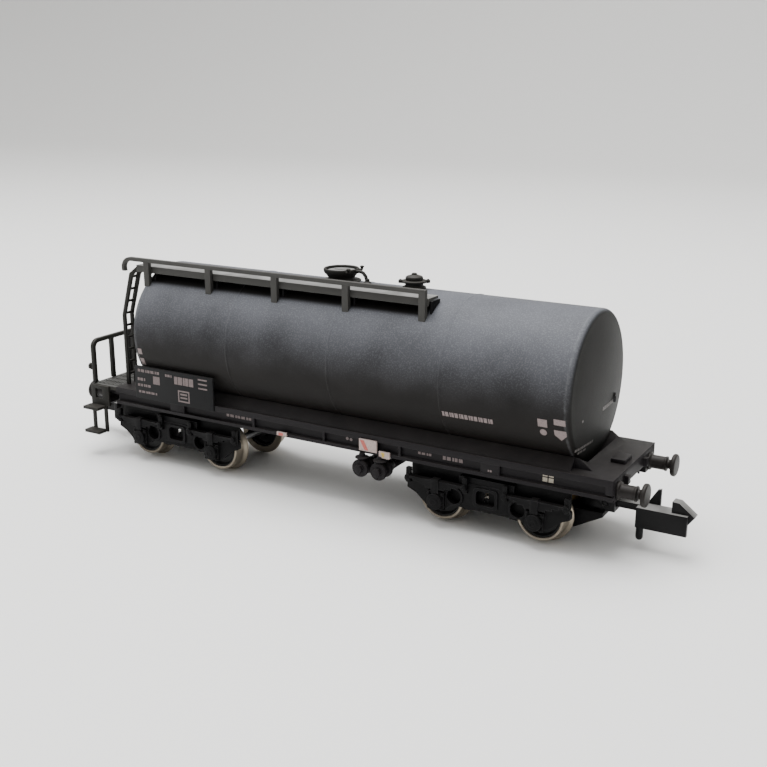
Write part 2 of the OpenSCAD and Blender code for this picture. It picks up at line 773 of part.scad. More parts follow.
module centring_spring() {
  x = swing_reach - 1.35;
  color("goldenrod") translate([0, 0, pocket_z - 0.5]) linear_extrude(1) polygon([
    [transom_x + transom_t, -1.6], [transom_x + transom_t, -1.2], [x - 0.15, -0.5], [x - 0.15, 0.5],
    [transom_x + transom_t, 1.2], [transom_x + transom_t, 1.6], [x, 0.6], [x, -0.6]]);
}

module centring_spring_right() at_bogie(1) centring_spring();
module centring_spring_left() at_bogie(-1) centring_spring();

// ---------------------------------------------------------------- couplers

module at_coupler(side) {
  at_bogie(side) translate([swing_reach, 0, 0]) children();
}

module coupler_pocket() {
  low = pocket_z - pocket_h / 2;
  color("black") difference() {
    union() {
      translate([0, 0, low]) cylinder(r = 1.25, h = pocket_h);
      box([0, -pocket_w / 2 + 0.25, low], [1, pocket_w / 2 - 0.25, low + pocket_h]);
      box([0.6, -pocket_w / 2, low], [pocket_len, pocket_w / 2, low + pocket_h]);
    }
    translate([0, 0, low - 1]) cylinder(r = swing_pin_r + shaft_gap, h = 4);
    box([1.25, -shank_w / 2 - 0.12, low + 0.3], [pocket_len + 1, shank_w / 2 + 0.12, low + pocket_h - 0.2]);
    along_y(lift_x, -pocket_w, pocket_z, trunnion_r + shaft_gap, 2 * pocket_w);
  }
}

module coupler_pocket_right() at_coupler(1) coupler_pocket();
module coupler_pocket_left() at_coupler(-1) coupler_pocket();

module coupler() {
  half = head_w / 2;
  low = pocket_z - shank_h / 2;
  color("black") {
    box([lift_x - 0.7, -shank_w / 2, low], [head_x + 0.5, shank_w / 2, low + shank_h]);
    along_y(lift_x, -pocket_w / 2 + 0.05, pocket_z, trunnion_r, pocket_w - 0.1);
    box([head_x, -half, head_low], [head_x + 0.6, half, head_top]);
    box([head_x, -half, head_low], [coupler_len - 0.7, -half + head_wall, head_top]);
    box([head_x, -half, head_top - 0.45], [coupler_len - 2.6, 0.4, head_top]);
    plate_xz(0.35, 0.4) polygon([[head_x + 0.4, head_top - 0.5], [head_x + 2.2, head_top - 0.5],
      [head_x + 2.2, head_top + fin_h], [head_x + 1.8, head_top + fin_h - 0.1]]);
    plate_xz(-half + head_wall - eps, 1.3) polygon([[coupler_len - 2.6, head_top - 1.6],
      [coupler_len - 2.6, beak_top], [coupler_len - 1.8, beak_top - 0.05], [coupler_len, head_top - 0.15],
      [coupler_len - 0.7, head_low + 1.3]]);
    translate([head_x + 0.45, -half + 0.45, trip_low + trip_pin_r]) {
      cylinder(r = trip_pin_r, h = head_low - trip_low);
      sphere(r = trip_pin_r);
    }
  }
}

module coupler_right() at_coupler(1) coupler();
module coupler_left() at_coupler(-1) coupler();

// ---------------------------------------------------------------- wheelsets

module at_axle(number) {
  side = number < 3 ? 1 : -1;
  place = number % 2 == 1 ? 1 : -1;
  translate([side * bogie_x + place * half_wheelbase, 0, axle_z]) children();
}

module axle(number) {
  color("gray") at_axle(number) {
    along_y(0, -wheel_out, 0, axle_r, 2 * wheel_out);
    along_y(0, -journal_end, 0, journal_r, 2 * journal_end);
  }
}

module wheel_profile(points) {
  both_sides() rotate([90, 0, 0]) rotate_extrude($fn = 72) polygon(points);
}

module wheel_tyres(number) {
  inner = tread_r - tyre_t;
  color("tan") at_axle(number) wheel_profile([[inner, wheel_in], [flange_r - 0.15, wheel_in],
    [flange_r, wheel_in + 0.15], [flange_r, wheel_in + flange_t - 0.3],
    [tread_r + 0.12, wheel_in + flange_t], [tread_r, wheel_in + flange_t + 0.15], [tread_r - 0.06, wheel_out - 0.15], [tread_r - 0.2, wheel_out],
    [inner, wheel_out]]);
}

module wheel_centres(number) {
  inner = tread_r - tyre_t;
  mid = (wheel_in + wheel_out) / 2;
  color("black") at_axle(number) wheel_profile([[axle_r, wheel_in], [hub_r, wheel_in],
    [hub_r + 0.15, mid - 0.35], [inner - 0.4, mid - 0.3],
    [inner - 0.3, wheel_in + 0.3], [inner, wheel_in + 0.3],
    [inner, wheel_out - 0.25], [inner - 0.25, wheel_out - 0.25], [inner - 0.4, mid + 0.25],
    [hub_r + 0.15, mid + 0.3], [hub_r, wheel_out - 0.05], [axle_r, wheel_out - 0.05]]);
}

module axle_1() axle(1);
module axle_2() axle(2);
module axle_3() axle(3);
module axle_4() axle(4);
module wheel_tyres_1() wheel_tyres(1);
module wheel_tyres_2() wheel_tyres(2);
module wheel_tyres_3() wheel_tyres(3);
module wheel_tyres_4() wheel_tyres(4);
module wheel_centres_1() wheel_centres(1);
module wheel_centres_2() wheel_centres(2);
module wheel_centres_3() wheel_centres(3);
module wheel_centres_4() wheel_centres(4);

tank_barrel();
tank_end_right();
tank_end_left();
ballast_weight();
underframe();
brake_platform();
platform_railing();
footsteps_near();
footsteps_far();
lamp_bracket();
ladder();
walkway_plank();
walkway_rail();
walkway_brackets();
manhole_neck();
manhole_lid();
manhole_clamps();
vent_valve_body();
vent_valve_cap();
signboard_near();
signboard_far();
drain_valves_near();
drain_valves_far();
drain_pipes();
placards_near();
placards_far();
deck_box();
buffer_right_near();
buffer_right_far();
buffer_left_near();
buffer_left_far();
pivot_screw_right();
pivot_screw_left();
bogie_frame_right();
pivot_bush_right();
brake_gear_right();
centring_spring_right();
bogie_frame_left();
pivot_bush_left();
brake_gear_left();
centring_spring_left();
coupler_pocket_right();
coupler_right();
coupler_pocket_left();
coupler_left();
axle_1();
wheel_centres_1();
wheel_tyres_1();
axle_2();
wheel_centres_2();
wheel_tyres_2();
axle_3();
wheel_centres_3();
wheel_tyres_3();
axle_4();
wheel_centres_4();
wheel_tyres_4();
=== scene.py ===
"""Looks of a four-axle model tank wagon: finishes, fine shapes and a small studio.

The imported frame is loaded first. Each operator then finishes one piece, or one group of like pieces.
Shapes are worked out in millimetres, in the frame's own axes, and made into meshes in metres.
"""

import json
import math

import bmesh
import bpy
import numpy as np
from bpy.props import FloatProperty, FloatVectorProperty, IntProperty, PointerProperty
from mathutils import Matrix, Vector


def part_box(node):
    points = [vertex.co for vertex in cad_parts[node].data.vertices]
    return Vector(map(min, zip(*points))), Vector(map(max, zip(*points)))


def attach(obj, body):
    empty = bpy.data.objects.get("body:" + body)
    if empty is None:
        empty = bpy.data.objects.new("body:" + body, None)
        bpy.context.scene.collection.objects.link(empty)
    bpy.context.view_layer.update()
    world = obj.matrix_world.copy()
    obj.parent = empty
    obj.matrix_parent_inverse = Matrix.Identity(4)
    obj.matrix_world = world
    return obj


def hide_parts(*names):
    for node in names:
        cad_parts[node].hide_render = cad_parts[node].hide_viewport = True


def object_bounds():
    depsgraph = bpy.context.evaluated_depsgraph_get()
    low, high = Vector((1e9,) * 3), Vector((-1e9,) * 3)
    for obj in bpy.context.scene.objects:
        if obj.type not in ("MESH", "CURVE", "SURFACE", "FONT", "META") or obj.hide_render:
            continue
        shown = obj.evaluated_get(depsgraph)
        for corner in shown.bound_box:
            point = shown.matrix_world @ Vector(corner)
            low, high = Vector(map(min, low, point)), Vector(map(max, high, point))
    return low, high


bl_info = {
    "name": "Model tank wagon",
    "version": (1, 0, 0),
    "blender": (4, 5, 0),
    "location": "View3D > Sidebar > Wagon",
    "description": "Builds the finishes and fine shapes of a model tank wagon",
    "category": "Object",
}

MM = 0.001
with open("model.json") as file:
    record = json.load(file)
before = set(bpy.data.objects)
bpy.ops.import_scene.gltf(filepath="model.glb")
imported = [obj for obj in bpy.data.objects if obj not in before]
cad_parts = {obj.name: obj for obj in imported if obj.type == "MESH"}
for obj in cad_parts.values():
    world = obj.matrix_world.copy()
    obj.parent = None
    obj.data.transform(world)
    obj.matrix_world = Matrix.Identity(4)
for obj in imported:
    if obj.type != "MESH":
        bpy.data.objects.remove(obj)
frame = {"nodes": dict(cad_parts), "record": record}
CAD_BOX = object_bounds()
BODY_OF = {node: body for body, nodes in frame["record"]["behaviour"]["bodies"].items() for node in nodes}


# ---------------------------------------------------------------- settings


def colour(name, value, what):
    return FloatVectorProperty(name=name, description=what, subtype="COLOR", size=3, min=0, max=1,
                               default=value)


def length(name, value, what):
    return FloatProperty(name=name, description=what + ", in millimetres", min=0, soft_max=50, default=value)


class WagonPaint(bpy.types.PropertyGroup):
    """Colours of the wagon's finishes."""

    tank: colour("Tank", (0.098, 0.101, 0.114), "Matte paint of the tank")
    # Painted shade: the dark brownish colour low on the tank, also used darker for the painted shadow under
    # the walkway.
    tank_shade_low: colour("Tank, low", (0.0065, 0.0053, 0.0048), "Brownish paint low on the tank")
    # Painted shade on the tank's ends, which face away from the light, with an olive tint.
    tank_end: colour("Tank ends", (0.0048, 0.0047, 0.0040), "Olive tone of the tank's ends")
    # Light specks in the paint; also the painted highlight on the tank's rounded edges.
    tank_speck_and_highlight: colour("Specks", (0.20, 0.205, 0.215), "Light specks in the tank's paint")
    frame: colour("Frame", (0.0085, 0.0072, 0.0082), "Plastic of the underframe")
    # Painted highlight on the frame's rounded edges, with some rubbing.
    frame_rub_and_highlight: colour("Rubbed frame", (0.050, 0.045, 0.049), "Edges of the frame where they are rubbed")
    bogie: colour("Bogies", (0.0035, 0.0034, 0.0037), "Plastic of the bogies")
    # Painted highlight on the bogies' rounded edges, with some rubbing.
    bogie_rub_and_highlight: colour("Rubbed bogies", (0.042, 0.040, 0.042), "Rubbed and lit edges of the bogies")
    walkway: colour("Walkway", (0.046, 0.045, 0.042), "Plastic of the walkway and its handrail")
    # Light upper faces of the walkway and the platform; on the couplers it is a painted reflection of the
    # sky.
    plank: colour("Plank top", (0.26, 0.255, 0.245),
                  "Dusty upper face of the walkway, the platform and the couplers")
    fitting: colour("Fittings", (0.0150, 0.0145, 0.0125), "Plastic of the railings, ladder and steps")
    # Painted highlight on the fittings' rounded edges, with some rubbing; also used on the platform, boards
    # and buffers.
    fitting_rub_and_highlight: colour("Rubbed fittings", (0.075, 0.070, 0.062), "Rubbed and lit edges of the fittings")
    board: colour("Signboard", (0.0078, 0.0080, 0.0086), "Plastic of the signboards")
    buffer: colour("Buffers", (0.0135, 0.0115, 0.0108), "Plastic of the buffers")
    coupler: colour("Couplers", (0.0035, 0.0035, 0.004), "Plastic of the couplers")
    print_pink: colour("Pale print", (0.19, 0.148, 0.145), "Pale print on the tank")
    print_worn: colour("Worn print", (0.135, 0.102, 0.100), "Worn print on the boards and the solebars")
    print_cream: colour("Cream print", (0.38, 0.34, 0.27), "Cream print on the solebars")
    print_faint: colour("Faint print", (0.10, 0.09, 0.085), "Faint print on the tank's end")
    placard: colour("Placards", (0.40, 0.315, 0.29), "Ground of the small placards")
    placard_red: colour("Red print", (0.45, 0.10, 0.08), "Red stripe of the small placards")
    placard_yellow: colour("Yellow print", (0.50, 0.34, 0.06), "Yellow block of the small placards")
    nickel: colour("Wheel rims", (0.34, 0.295, 0.235), "Turned metal of the wheel rims")
    steel: colour("Steel", (0.42, 0.42, 0.43), "Axles and screws")
    brass: colour("Brass", (0.20, 0.135, 0.055), "Dulled bushes and springs")
    dust: colour("Dust", (0.085, 0.076, 0.068), "Fine dust that settles on upper faces")
    floor: colour("Floor", (0.86, 0.85, 0.83), "Pale studio floor")


class WagonSizes(bpy.types.PropertyGroup):
    """Sizes of the fine shapes."""

    edge: length("Moulded edge", 0.07, "Rounding of the moulded parts' edges")
    fine_edge: length("Fine edge", 0.04, "Rounding of the thinnest parts' edges")
    print_t: length("Print thickness", 0.02, "Thickness of a printed mark")
    wall: length("Tank wall", 0.8, "Thickness of the tank's wall")
    seam_h: length("Seam height", 0.06, "Height of a weld seam on the tank")
    seam_w: length("Seam width", 0.13, "Half of the width of a weld seam")
    knuckle: length("Knuckle", 0.6, "Rounding between the tank's barrel and its ends")
    dome: length("Dome", 0.75, "Depth of the tank's shallow end beyond the knuckle")
    dot_pitch: length("Tread pitch", 0.42, "Distance between two studs of the platform's tread")
    dot_r: length("Tread stud", 0.11, "Radius of a stud of the platform's tread")
    wheel_rim: length("Rim depth", 0.42, "Depth of a wheel's metal rim")
    wheel_w: length("Wheel width", 2.2, "Width of a wheel over its flange and tread")
    web_in: length("Web inset", 0.55, "How far a solebar's web lies inside its flanges")
    frame_plate_in: length("Plate inset", 0.12, "How far the plate on a solebar lies inside its flanges")
    spring_half: length("Half spring", 3.75, "Half length of the longest leaf of a bogie spring")
    flange_t: length("Flange", 0.6, "Thickness of a wheel flange")
    flange_h: length("Flange height", 0.49, "Height of a wheel flange above the tread")
    turns: IntProperty(name="Turns", description="Steps round a large turned shape", min=24, max=256,
                       default=144)
    small_turns: IntProperty(name="Small turns", description="Steps round a small turned shape", min=12,
                             max=96, default=40)


def paint():
    return bpy.context.scene.wagon_paint


def sizes():
    return bpy.context.scene.wagon_sizes


# ---------------------------------------------------------------- shapes


def span(node):
    """Lowest corner, highest corner and middle of a frame node, in millimetres."""
    low, high = (np.array(corner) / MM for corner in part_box(node))
    return low, high, (low + high) / 2


def grid(points, wrap_rows=False, wrap_cols=False):
    """A surface from rows and columns of points: each cell of the grid is one quad, and a wrapped side joins
    its start."""
    rows, cols = points.shape[:2]
    index = np.arange(rows * cols).reshape(rows, cols)
    if wrap_rows:
        index = np.vstack([index, index[:1]])
    if wrap_cols:
        index = np.hstack([index, index[:, :1]])
    quads = np.stack([index[:-1, :-1], index[1:, :-1], index[1:, 1:], index[:-1, 1:]], axis=-1)
    return points.reshape(-1, 3), quads.reshape(-1, 4).tolist()


def turned(profile, centre, axis, steps=None, closed=False):
    """A profile of (radius, distance) pairs turned about an axis: a point is centre + distance on the axis
    + radius times the cosine and sine of the turn on the two other directions."""
    profile = np.asarray(profile, float)
    turn = np.linspace(0, 2 * np.pi, steps or sizes().small_turns, endpoint=False)
    along, side, up = np.roll(np.eye(3), -"xyz".index(axis), axis=0)
    ring = np.cos(turn)[:, None] * side + np.sin(turn)[:, None] * up
    points = profile[:, 0, None, None] * ring + profile[:, 1, None, None] * along + np.asarray(centre, float)
    return grid(points, wrap_rows=closed, wrap_cols=True)


def arc(centre, radius, start, end, count=6):
    """Points round an arc: centre + radius times the cosine and sine of angles from start to end, in
    degrees."""
    angle = np.radians(np.linspace(start, end, count))
    return np.asarray(centre, float) + np.stack([radius * np.cos(angle), radius * np.sin(angle)], axis=-1)


def rounded_profile(corners, radius=0.05, count=4):
    """An open profile with its inner corners rounded: each corner becomes the quadratic curve between the
    points a short way along its two sides, (1-t)^2 a + 2t(1-t) corner + t^2 b."""
    corners = np.asarray(corners, float)
    t = np.linspace(0, 1, count)[:, None]
    out = [corners[:1]]
    for before, corner, after in zip(corners[:-2], corners[1:-1], corners[2:]):
        back, ahead = before - corner, after - corner
        reach = min(radius, 0.45 * np.linalg.norm(back), 0.45 * np.linalg.norm(ahead))
        a = corner + back / max(np.linalg.norm(back), 1e-9) * reach
        b = corner + ahead / max(np.linalg.norm(ahead), 1e-9) * reach
        out.append((1 - t) ** 2 * a + 2 * t * (1 - t) * corner + t**2 * b)
    return np.vstack(out + [corners[-1:]])


def rounded_outline(corners, radius=0.05, count=4):
    """A closed outline with every corner rounded, in the same way as a profile."""
    corners = np.asarray(corners, float)
    ring = np.vstack([corners[-1:], corners, corners[:1]])
    return rounded_profile(ring, radius, count)[1:-1]


def rectangle(x0, x1, z0, z1):
    return [(x0, z0), (x1, z0), (x1, z1), (x0, z1)]


def plate(outline, low, high, axis, edge=0.04, steps=3):
    """A flat plate with rounded rims: the outline is carried from low to high along the axis, and near each
    face it is drawn in by edge * (1 - sin a) while it moves edge * (1 - cos a) back from that face."""
    outline = np.asarray(outline, float)
    ahead = np.roll(outline, -1, axis=0) - outline
    back = outline - np.roll(outline, 1, axis=0)
    tangent = ahead / np.linalg.norm(ahead, axis=1)[:, None] + back / np.linalg.norm(back, axis=1)[:, None]
    area = np.sum(outline[:, 0] * np.roll(outline[:, 1], -1) - np.roll(outline[:, 0], -1) * outline[:, 1])
    inward = np.stack([-tangent[:, 1], tangent[:, 0]], axis=-1) * np.sign(area)
    inward /= np.linalg.norm(inward, axis=1)[:, None]
    edge = min(edge, (high - low) * 0.45)
    angle = np.radians(np.linspace(0, 90, steps))
    inset = edge * (1 - np.sin(angle))
    rise = edge * (1 - np.cos(angle))
    inset = np.concatenate([inset, inset[::-1]])
    height = np.concatenate([low + rise, high - rise[::-1]])
    flat = outline[None] + inset[:, None, None] * inward[None]
    points = np.empty(flat.shape[:2] + (3,))
    place = {"x": (1, 2, 0), "y": (0, 2, 1), "z": (0, 1, 2)}[axis]
    points[..., place[0]] = flat[..., 0]
    points[..., place[1]] = flat[..., 1]
    points[..., place[2]] = height[:, None]
    coords, faces = grid(points, wrap_cols=True)
    count = len(outline)
    last = len(coords) - count
    faces.append(list(range(count)))
    faces.append(list(range(last, last + count)))
    return coords, faces


def frame_ring(outer, inner, low, high):
    """A flat ring between two outlines in X and Z with as many points, from y = low to y = high."""
    rows = [np.insert(np.asarray(o, float), 1, y, axis=1)
            for o, y in ((inner, low), (outer, low), (outer, high), (inner, high))]
    return grid(np.array(rows), wrap_rows=True, wrap_cols=True)


def tube(path, radius, sides=10):
    """A round bar along a path: at each point a circle stands across the path's direction, on two directions
    found from the path's tangent and the fixed direction it leans on least."""
    path = np.asarray(path, float)
    tangent = np.gradient(path, axis=0)
    tangent /= np.linalg.norm(tangent, axis=1)[:, None]
    lean = np.eye(3)[np.argmin(np.abs(tangent).max(axis=0))]
    side = np.cross(tangent, lean)
    side /= np.linalg.norm(side, axis=1)[:, None]
    up = np.cross(tangent, side)
    turn = np.linspace(0, 2 * np.pi, sides, endpoint=False)[:, None, None]
    ring = path[None] + radius * (np.cos(turn) * side[None] + np.sin(turn) * up[None])
    coords, faces = grid(ring.transpose(1, 0, 2), wrap_cols=True)
    faces.append(list(range(sides)))
    faces.append(list(range(len(coords) - sides, len(coords))))
    return coords, faces


def mirrored(shape, axis):
    """The shape with one coordinate's sign changed; its normals are turned outwards when it is built."""
    coords, faces = shape
    flip = np.ones(3)
    flip["xyz".index(axis)] = -1
    return coords * flip, faces


def moved(shape, offset):
    coords, faces = shape
    return coords + np.asarray(offset, float), faces


def build(name, shapes, sharp=38):
    """One object from several shapes, each closed: doubles are merged, faces turned outwards and edges
    flatter than the sharp angle shaded smooth."""
    coords = np.vstack([shape[0] for shape in shapes]) * MM
    faces = []
    start = 0
    for points, cells in shapes:
        faces.extend([[start + i for i in cell] for cell in cells])
        start += len(points)
    mesh = bpy.data.meshes.new(name)
    mesh.from_pydata(coords, [], faces)
    shell = bmesh.new()
    shell.from_mesh(mesh)
    bmesh.ops.remove_doubles(shell, verts=shell.verts, dist=2e-7)
    bmesh.ops.dissolve_degenerate(shell, edges=shell.edges, dist=1e-7)
    bmesh.ops.recalc_face_normals(shell, faces=shell.faces)
    shell.to_mesh(mesh)
    shell.free()
    mesh.shade_smooth()
    mesh.set_sharp_from_angle(angle=math.radians(sharp))
    piece = bpy.data.objects.new(name, mesh)
    bpy.context.scene.collection.objects.link(piece)
    return piece


def fit(piece, material, body, replaces=()):
    """Gives a piece its material, its body, and the frame nodes that it stands for."""
    piece.data.materials.clear()
    piece.data.materials.append(material)
    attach(piece, body)
    if replaces:
        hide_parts(*replaces)
    return piece


def softened(node, material, width=None):
    """A copy of a frame node with its loose triangles merged, its flat faces joined and its edges rounded."""
    mesh = frame["nodes"][node].data.copy()
    mesh.name = "moulded_" + node
    shell = bmesh.new()
    shell.from_mesh(mesh)
    bmesh.ops.remove_doubles(shell, verts=shell.verts, dist=1e-6)
    bmesh.ops.dissolve_limit(
        shell, angle_limit=math.radians(0.6), verts=shell.verts, edges=shell.edges, delimit={"NORMAL"}
    )
    shell.to_mesh(mesh)
    shell.free()
    mesh.shade_smooth()
    piece = bpy.data.objects.new("moulded_" + node, mesh)
    bpy.context.scene.collection.objects.link(piece)
    rounding = piece.modifiers.new("Moulded edges", "BEVEL")
    rounding.width = (width or sizes().edge) * MM
    rounding.segments = 2
    rounding.limit_method = "ANGLE"
    rounding.angle_limit = math.radians(42)
    rounding.harden_normals = True
    return fit(piece, material, BODY_OF[node], [node])


# ---------------------------------------------------------------- finishes


def new_group(name, inputs, outputs):
    """A shader node group with named sockets: inputs and outputs are (name, type, default) rows."""
    group = bpy.data.node_groups.new(name, "ShaderNodeTree")
    for direction, rows in (("INPUT", inputs), ("OUTPUT", outputs)):
        for label, kind, *default in rows:
            socket = group.interface.new_socket(name=label, in_out=direction, socket_type="NodeSocket" + kind)
            if default:
                socket.default_value = default[0]
    return group, group.nodes.new("NodeGroupInput"), group.nodes.new("NodeGroupOutput")


def add(tree, kind, links=None, **values):
    """A node with its settings, and its input sockets linked or set: links maps a socket to a socket or a
    value."""
    node = tree.nodes.new("ShaderNode" + kind)
    for key, value in values.items():
        setattr(node, key, value)
    for key, value in (links or {}).items():
        if isinstance(value, bpy.types.NodeSocket):
            tree.links.new(value, node.inputs[key])
        else:
            node.inputs[key].default_value = value
    return node


def grain_group():
    """Fine grain of sprayed paint and moulded plastic: two sizes of noise, and sparse specks."""
    tree, start, end = new_group(
        "Fine grain",
        [("Vector", "Vector"), ("Grain", "Float", 9000.0), ("Speck Share", "Float", 0.62)],
        [("Height", "Float"), ("Speck", "Float"), ("Cloud", "Float")],
    )
    fine = add(tree, "TexNoise",
               {"Vector": start.outputs["Vector"], "Scale": start.outputs["Grain"], "Detail": 3.0})
    coarse_scale = add(tree, "Math", {0: start.outputs["Grain"], 1: 0.22}, operation="MULTIPLY")
    coarse = add(tree, "TexNoise",
                 {"Vector": start.outputs["Vector"], "Scale": coarse_scale.outputs[0], "Detail": 2.0})
    height = add(tree, "Math", {0: coarse.outputs["Fac"], 1: 0.6, 2: fine.outputs["Fac"]},
                 operation="MULTIPLY_ADD")
    ceiling = add(tree, "Math", {0: start.outputs["Speck Share"], 1: 0.12}, operation="ADD")
    speck = add(
        tree,
        "MapRange",
        {"Value": fine.outputs["Fac"], "From Min": start.outputs["Speck Share"],
         "From Max": ceiling.outputs[0]},
    )
    cloud = add(tree, "TexNoise", {"Vector": start.outputs["Vector"], "Scale": 160.0, "Detail": 4.0})
    tree.links.new(height.outputs[0], end.inputs["Height"])
    tree.links.new(speck.outputs["Result"], end.inputs["Speck"])
    tree.links.new(cloud.outputs["Fac"], end.inputs["Cloud"])
    return tree


def rub_and_highlight_group():
    """Rubbed edges with a painted highlight: how far the rounded normal turns away from the face's own,
    broken up by noise; the lighter edge stands for light caught by the edges as well as for wear.
    """
    tree, start, end = new_group(
        "Rubbed and lit edges",
        [("Vector", "Vector"), ("Radius", "Float", 0.00012), ("Rubbing", "Float", 1.0)],
        [("Mask", "Float")],
    )
    rounded = add(tree, "Bevel", {"Radius": start.outputs["Radius"]}, samples=4)
    facing = add(tree, "NewGeometry")
    turn = add(
        tree, "VectorMath", {0: rounded.outputs["Normal"], 1: facing.outputs["Normal"]},
        operation="DOT_PRODUCT"
    )
    edge = add(tree, "MapRange", {"Value": turn.outputs["Value"], "From Min": 0.985, "From Max": 0.80})
    broken = add(tree, "TexNoise", {"Vector": start.outputs["Vector"], "Scale": 900.0, "Detail": 3.0})
    share = add(tree, "MapRange", {"Value": broken.outputs["Fac"], "From Min": 0.32, "From Max": 0.62})
    mask = add(tree, "Math", {0: edge.outputs["Result"], 1: share.outputs["Result"]}, operation="MULTIPLY")
    mask = add(tree, "Math", {0: mask.outputs[0], 1: start.outputs["Rubbing"]}, operation="MULTIPLY")
    tree.links.new(mask.outputs[0], end.inputs["Mask"])
    return tree


def dust_and_sheen_group():
    """Dust on faces that look up: the normal's rise, broken up by soft noise. On the couplers the same mask
    carries a painted reflection of the sky.
    """
    tree, start, end = new_group(
        "Settled dust and sheen",
        [("Vector", "Vector"), ("Amount", "Float", 0.4)],
        [("Mask", "Float")],
    )
    facing = add(tree, "NewGeometry")
    parts = add(tree, "SeparateXYZ", {"Vector": facing.outputs["Normal"]})
    upward = add(tree, "MapRange", {"Value": parts.outputs["Z"], "From Min": 0.35, "From Max": 0.95})
    noise = add(tree, "TexNoise", {"Vector": start.outputs["Vector"], "Scale": 420.0, "Detail": 5.0})
    share = add(tree, "MapRange", {"Value": noise.outputs["Fac"], "From Min": 0.25, "From Max": 0.75,
                                  "To Min": 0.4})
    mask = add(tree, "Math", {0: upward.outputs["Result"], 1: share.outputs["Result"]}, operation="MULTIPLY")
    mask = add(tree, "Math", {0: mask.outputs[0], 1: start.outputs["Amount"]}, operation="MULTIPLY")
    tree.links.new(mask.outputs[0], end.inputs["Mask"])
    return tree


GROUP_MAKERS = {"Fine grain": grain_group, "Rubbed and lit edges": rub_and_highlight_group, "Settled dust and sheen": dust_and_sheen_group}


def group_node(tree, name, links):
    """A shared group placed in a material, made the first time that it is wanted."""
    group = bpy.data.node_groups.get(name) or GROUP_MAKERS[name]()
    node = tree.nodes.new("ShaderNodeGroup")
    node.node_tree = group
    for key, value in links.items():
        if isinstance(value, bpy.types.NodeSocket):
            tree.links.new(value, node.inputs[key])
        else:
            node.inputs[key].default_value = value
    return node


def blend(tree, mask, under, over):
    """A colour mix: under where the mask is 0 and over where it is 1."""
    mix = add(tree, "Mix", data_type="RGBA")
    for socket, value in ((mix.inputs[0], mask), (mix.inputs[6], under), (mix.inputs[7], over)):
        if isinstance(value, bpy.types.NodeSocket):
            tree.links.new(value, socket)
        else:
            socket.default_value = value if isinstance(value, float) else (*value, 1.0)
    return mix.outputs[2]


def new_material(name):
    material = bpy.data.materials.new(name)
    material.use_nodes = True
    tree = material.node_tree
    shader = tree.nodes["Principled BSDF"]
    where = add(tree, "TexCoord").outputs["Object"]
    return material, tree, shader, where


def rough(tree, shader, value, low, high):
    """Roughness that follows a mask from low to high."""
    span_node = add(tree, "MapRange", {"Value": value, "To Min": low, "To Max": high})
    tree.links.new(span_node.outputs["Result"], shader.inputs["Roughness"])


def bumped(tree, shader, height, strength, distance=0.00002):
    bump = add(tree, "Bump", {"Height": height, "Strength": strength, "Distance": distance})
    tree.links.new(bump.outputs["Normal"], shader.inputs["Normal"])


def finish(name, base, rub_and_highlight, rubbing, dust, roughness, grain=9000.0, bump=0.35, specular=0.15, top=None):
    """Moulded plastic: a base colour with clouds, rubbed edges with a painted highlight, dust on upper faces
    (on the couplers a painted reflection) and a fine grain.
    """
    if name in bpy.data.materials:
        return bpy.data.materials[name]
    material, tree, shader, where = new_material(name)
    texture = group_node(tree, "Fine grain", {"Vector": where, "Grain": grain, "Speck Share": 0.6})
    edges = group_node(tree, "Rubbed and lit edges", {"Vector": where, "Rubbing": rubbing})
    dust_and_sheen = group_node(tree, "Settled dust and sheen", {"Vector": where, "Amount": dust})
    darker = tuple(0.72 * c for c in base)
    colour_now = blend(tree, texture.outputs["Cloud"], darker, tuple(1.25 * c for c in base))
    # Dust on upward faces; where the couplers' top colour is given it is a painted reflection.
    colour_now = blend(tree, dust_and_sheen.outputs["Mask"], colour_now, tuple(top or paint().dust))
    # Painted highlight, with some rubbing, on the rounded edges.
    colour_now = blend(tree, edges.outputs["Mask"], colour_now, rub_and_highlight)
    tree.links.new(colour_now, shader.inputs["Base Color"])
    rough(tree, shader, texture.outputs["Cloud"], roughness - 0.07, roughness + 0.09)
    bumped(tree, shader, texture.outputs["Height"], bump)
    shader.inputs["Specular IOR Level"].default_value = specular
    return material


def frame_finish():
    return finish("Frame black", paint().frame, paint().frame_rub_and_highlight, 0.60, 0.24, 0.52)


def bogie_finish():
    return finish("Bogie black", paint().bogie, paint().bogie_rub_and_highlight, 0.90, 0.10, 0.50, specular=0.1)


def fitting_finish():
    return finish("Fitting grey", paint().fitting, paint().fitting_rub_and_highlight, 0.50, 0.40, 0.50)


def walkway_finish():
    return finish("Walkway grey", paint().walkway, tuple(1.6 * c for c in paint().walkway), 0.50, 0.35, 0.50)


def plank_finish():
    return finish("Plank", paint().walkway, tuple(paint().plank), 0.40, 0.95, 0.50, top=paint().plank)


def platform_finish():
    top = tuple(0.55 * c for c in paint().plank)
    return finish("Platform", tuple(1.5 * c for c in paint().fitting), paint().fitting_rub_and_highlight, 0.45, 0.55, 0.50,
                  top=top)


def board_finish():
    return finish("Board grey", paint().board, paint().fitting_rub_and_highlight, 0.35, 0.15, 0.55)


def buffer_finish():
    return finish("Buffer grey", paint().buffer, paint().fitting_rub_and_highlight, 0.40, 0.35, 0.45)


def coupler_finish():
    # Painted reflection: the couplers' upward faces take a light top colour through the dust mask.
    top = tuple(0.9 * c for c in paint().plank)
    return finish("Coupler black", paint().coupler, paint().frame_rub_and_highlight, 0.45, 1.2, 0.42, bump=0.25, top=top)


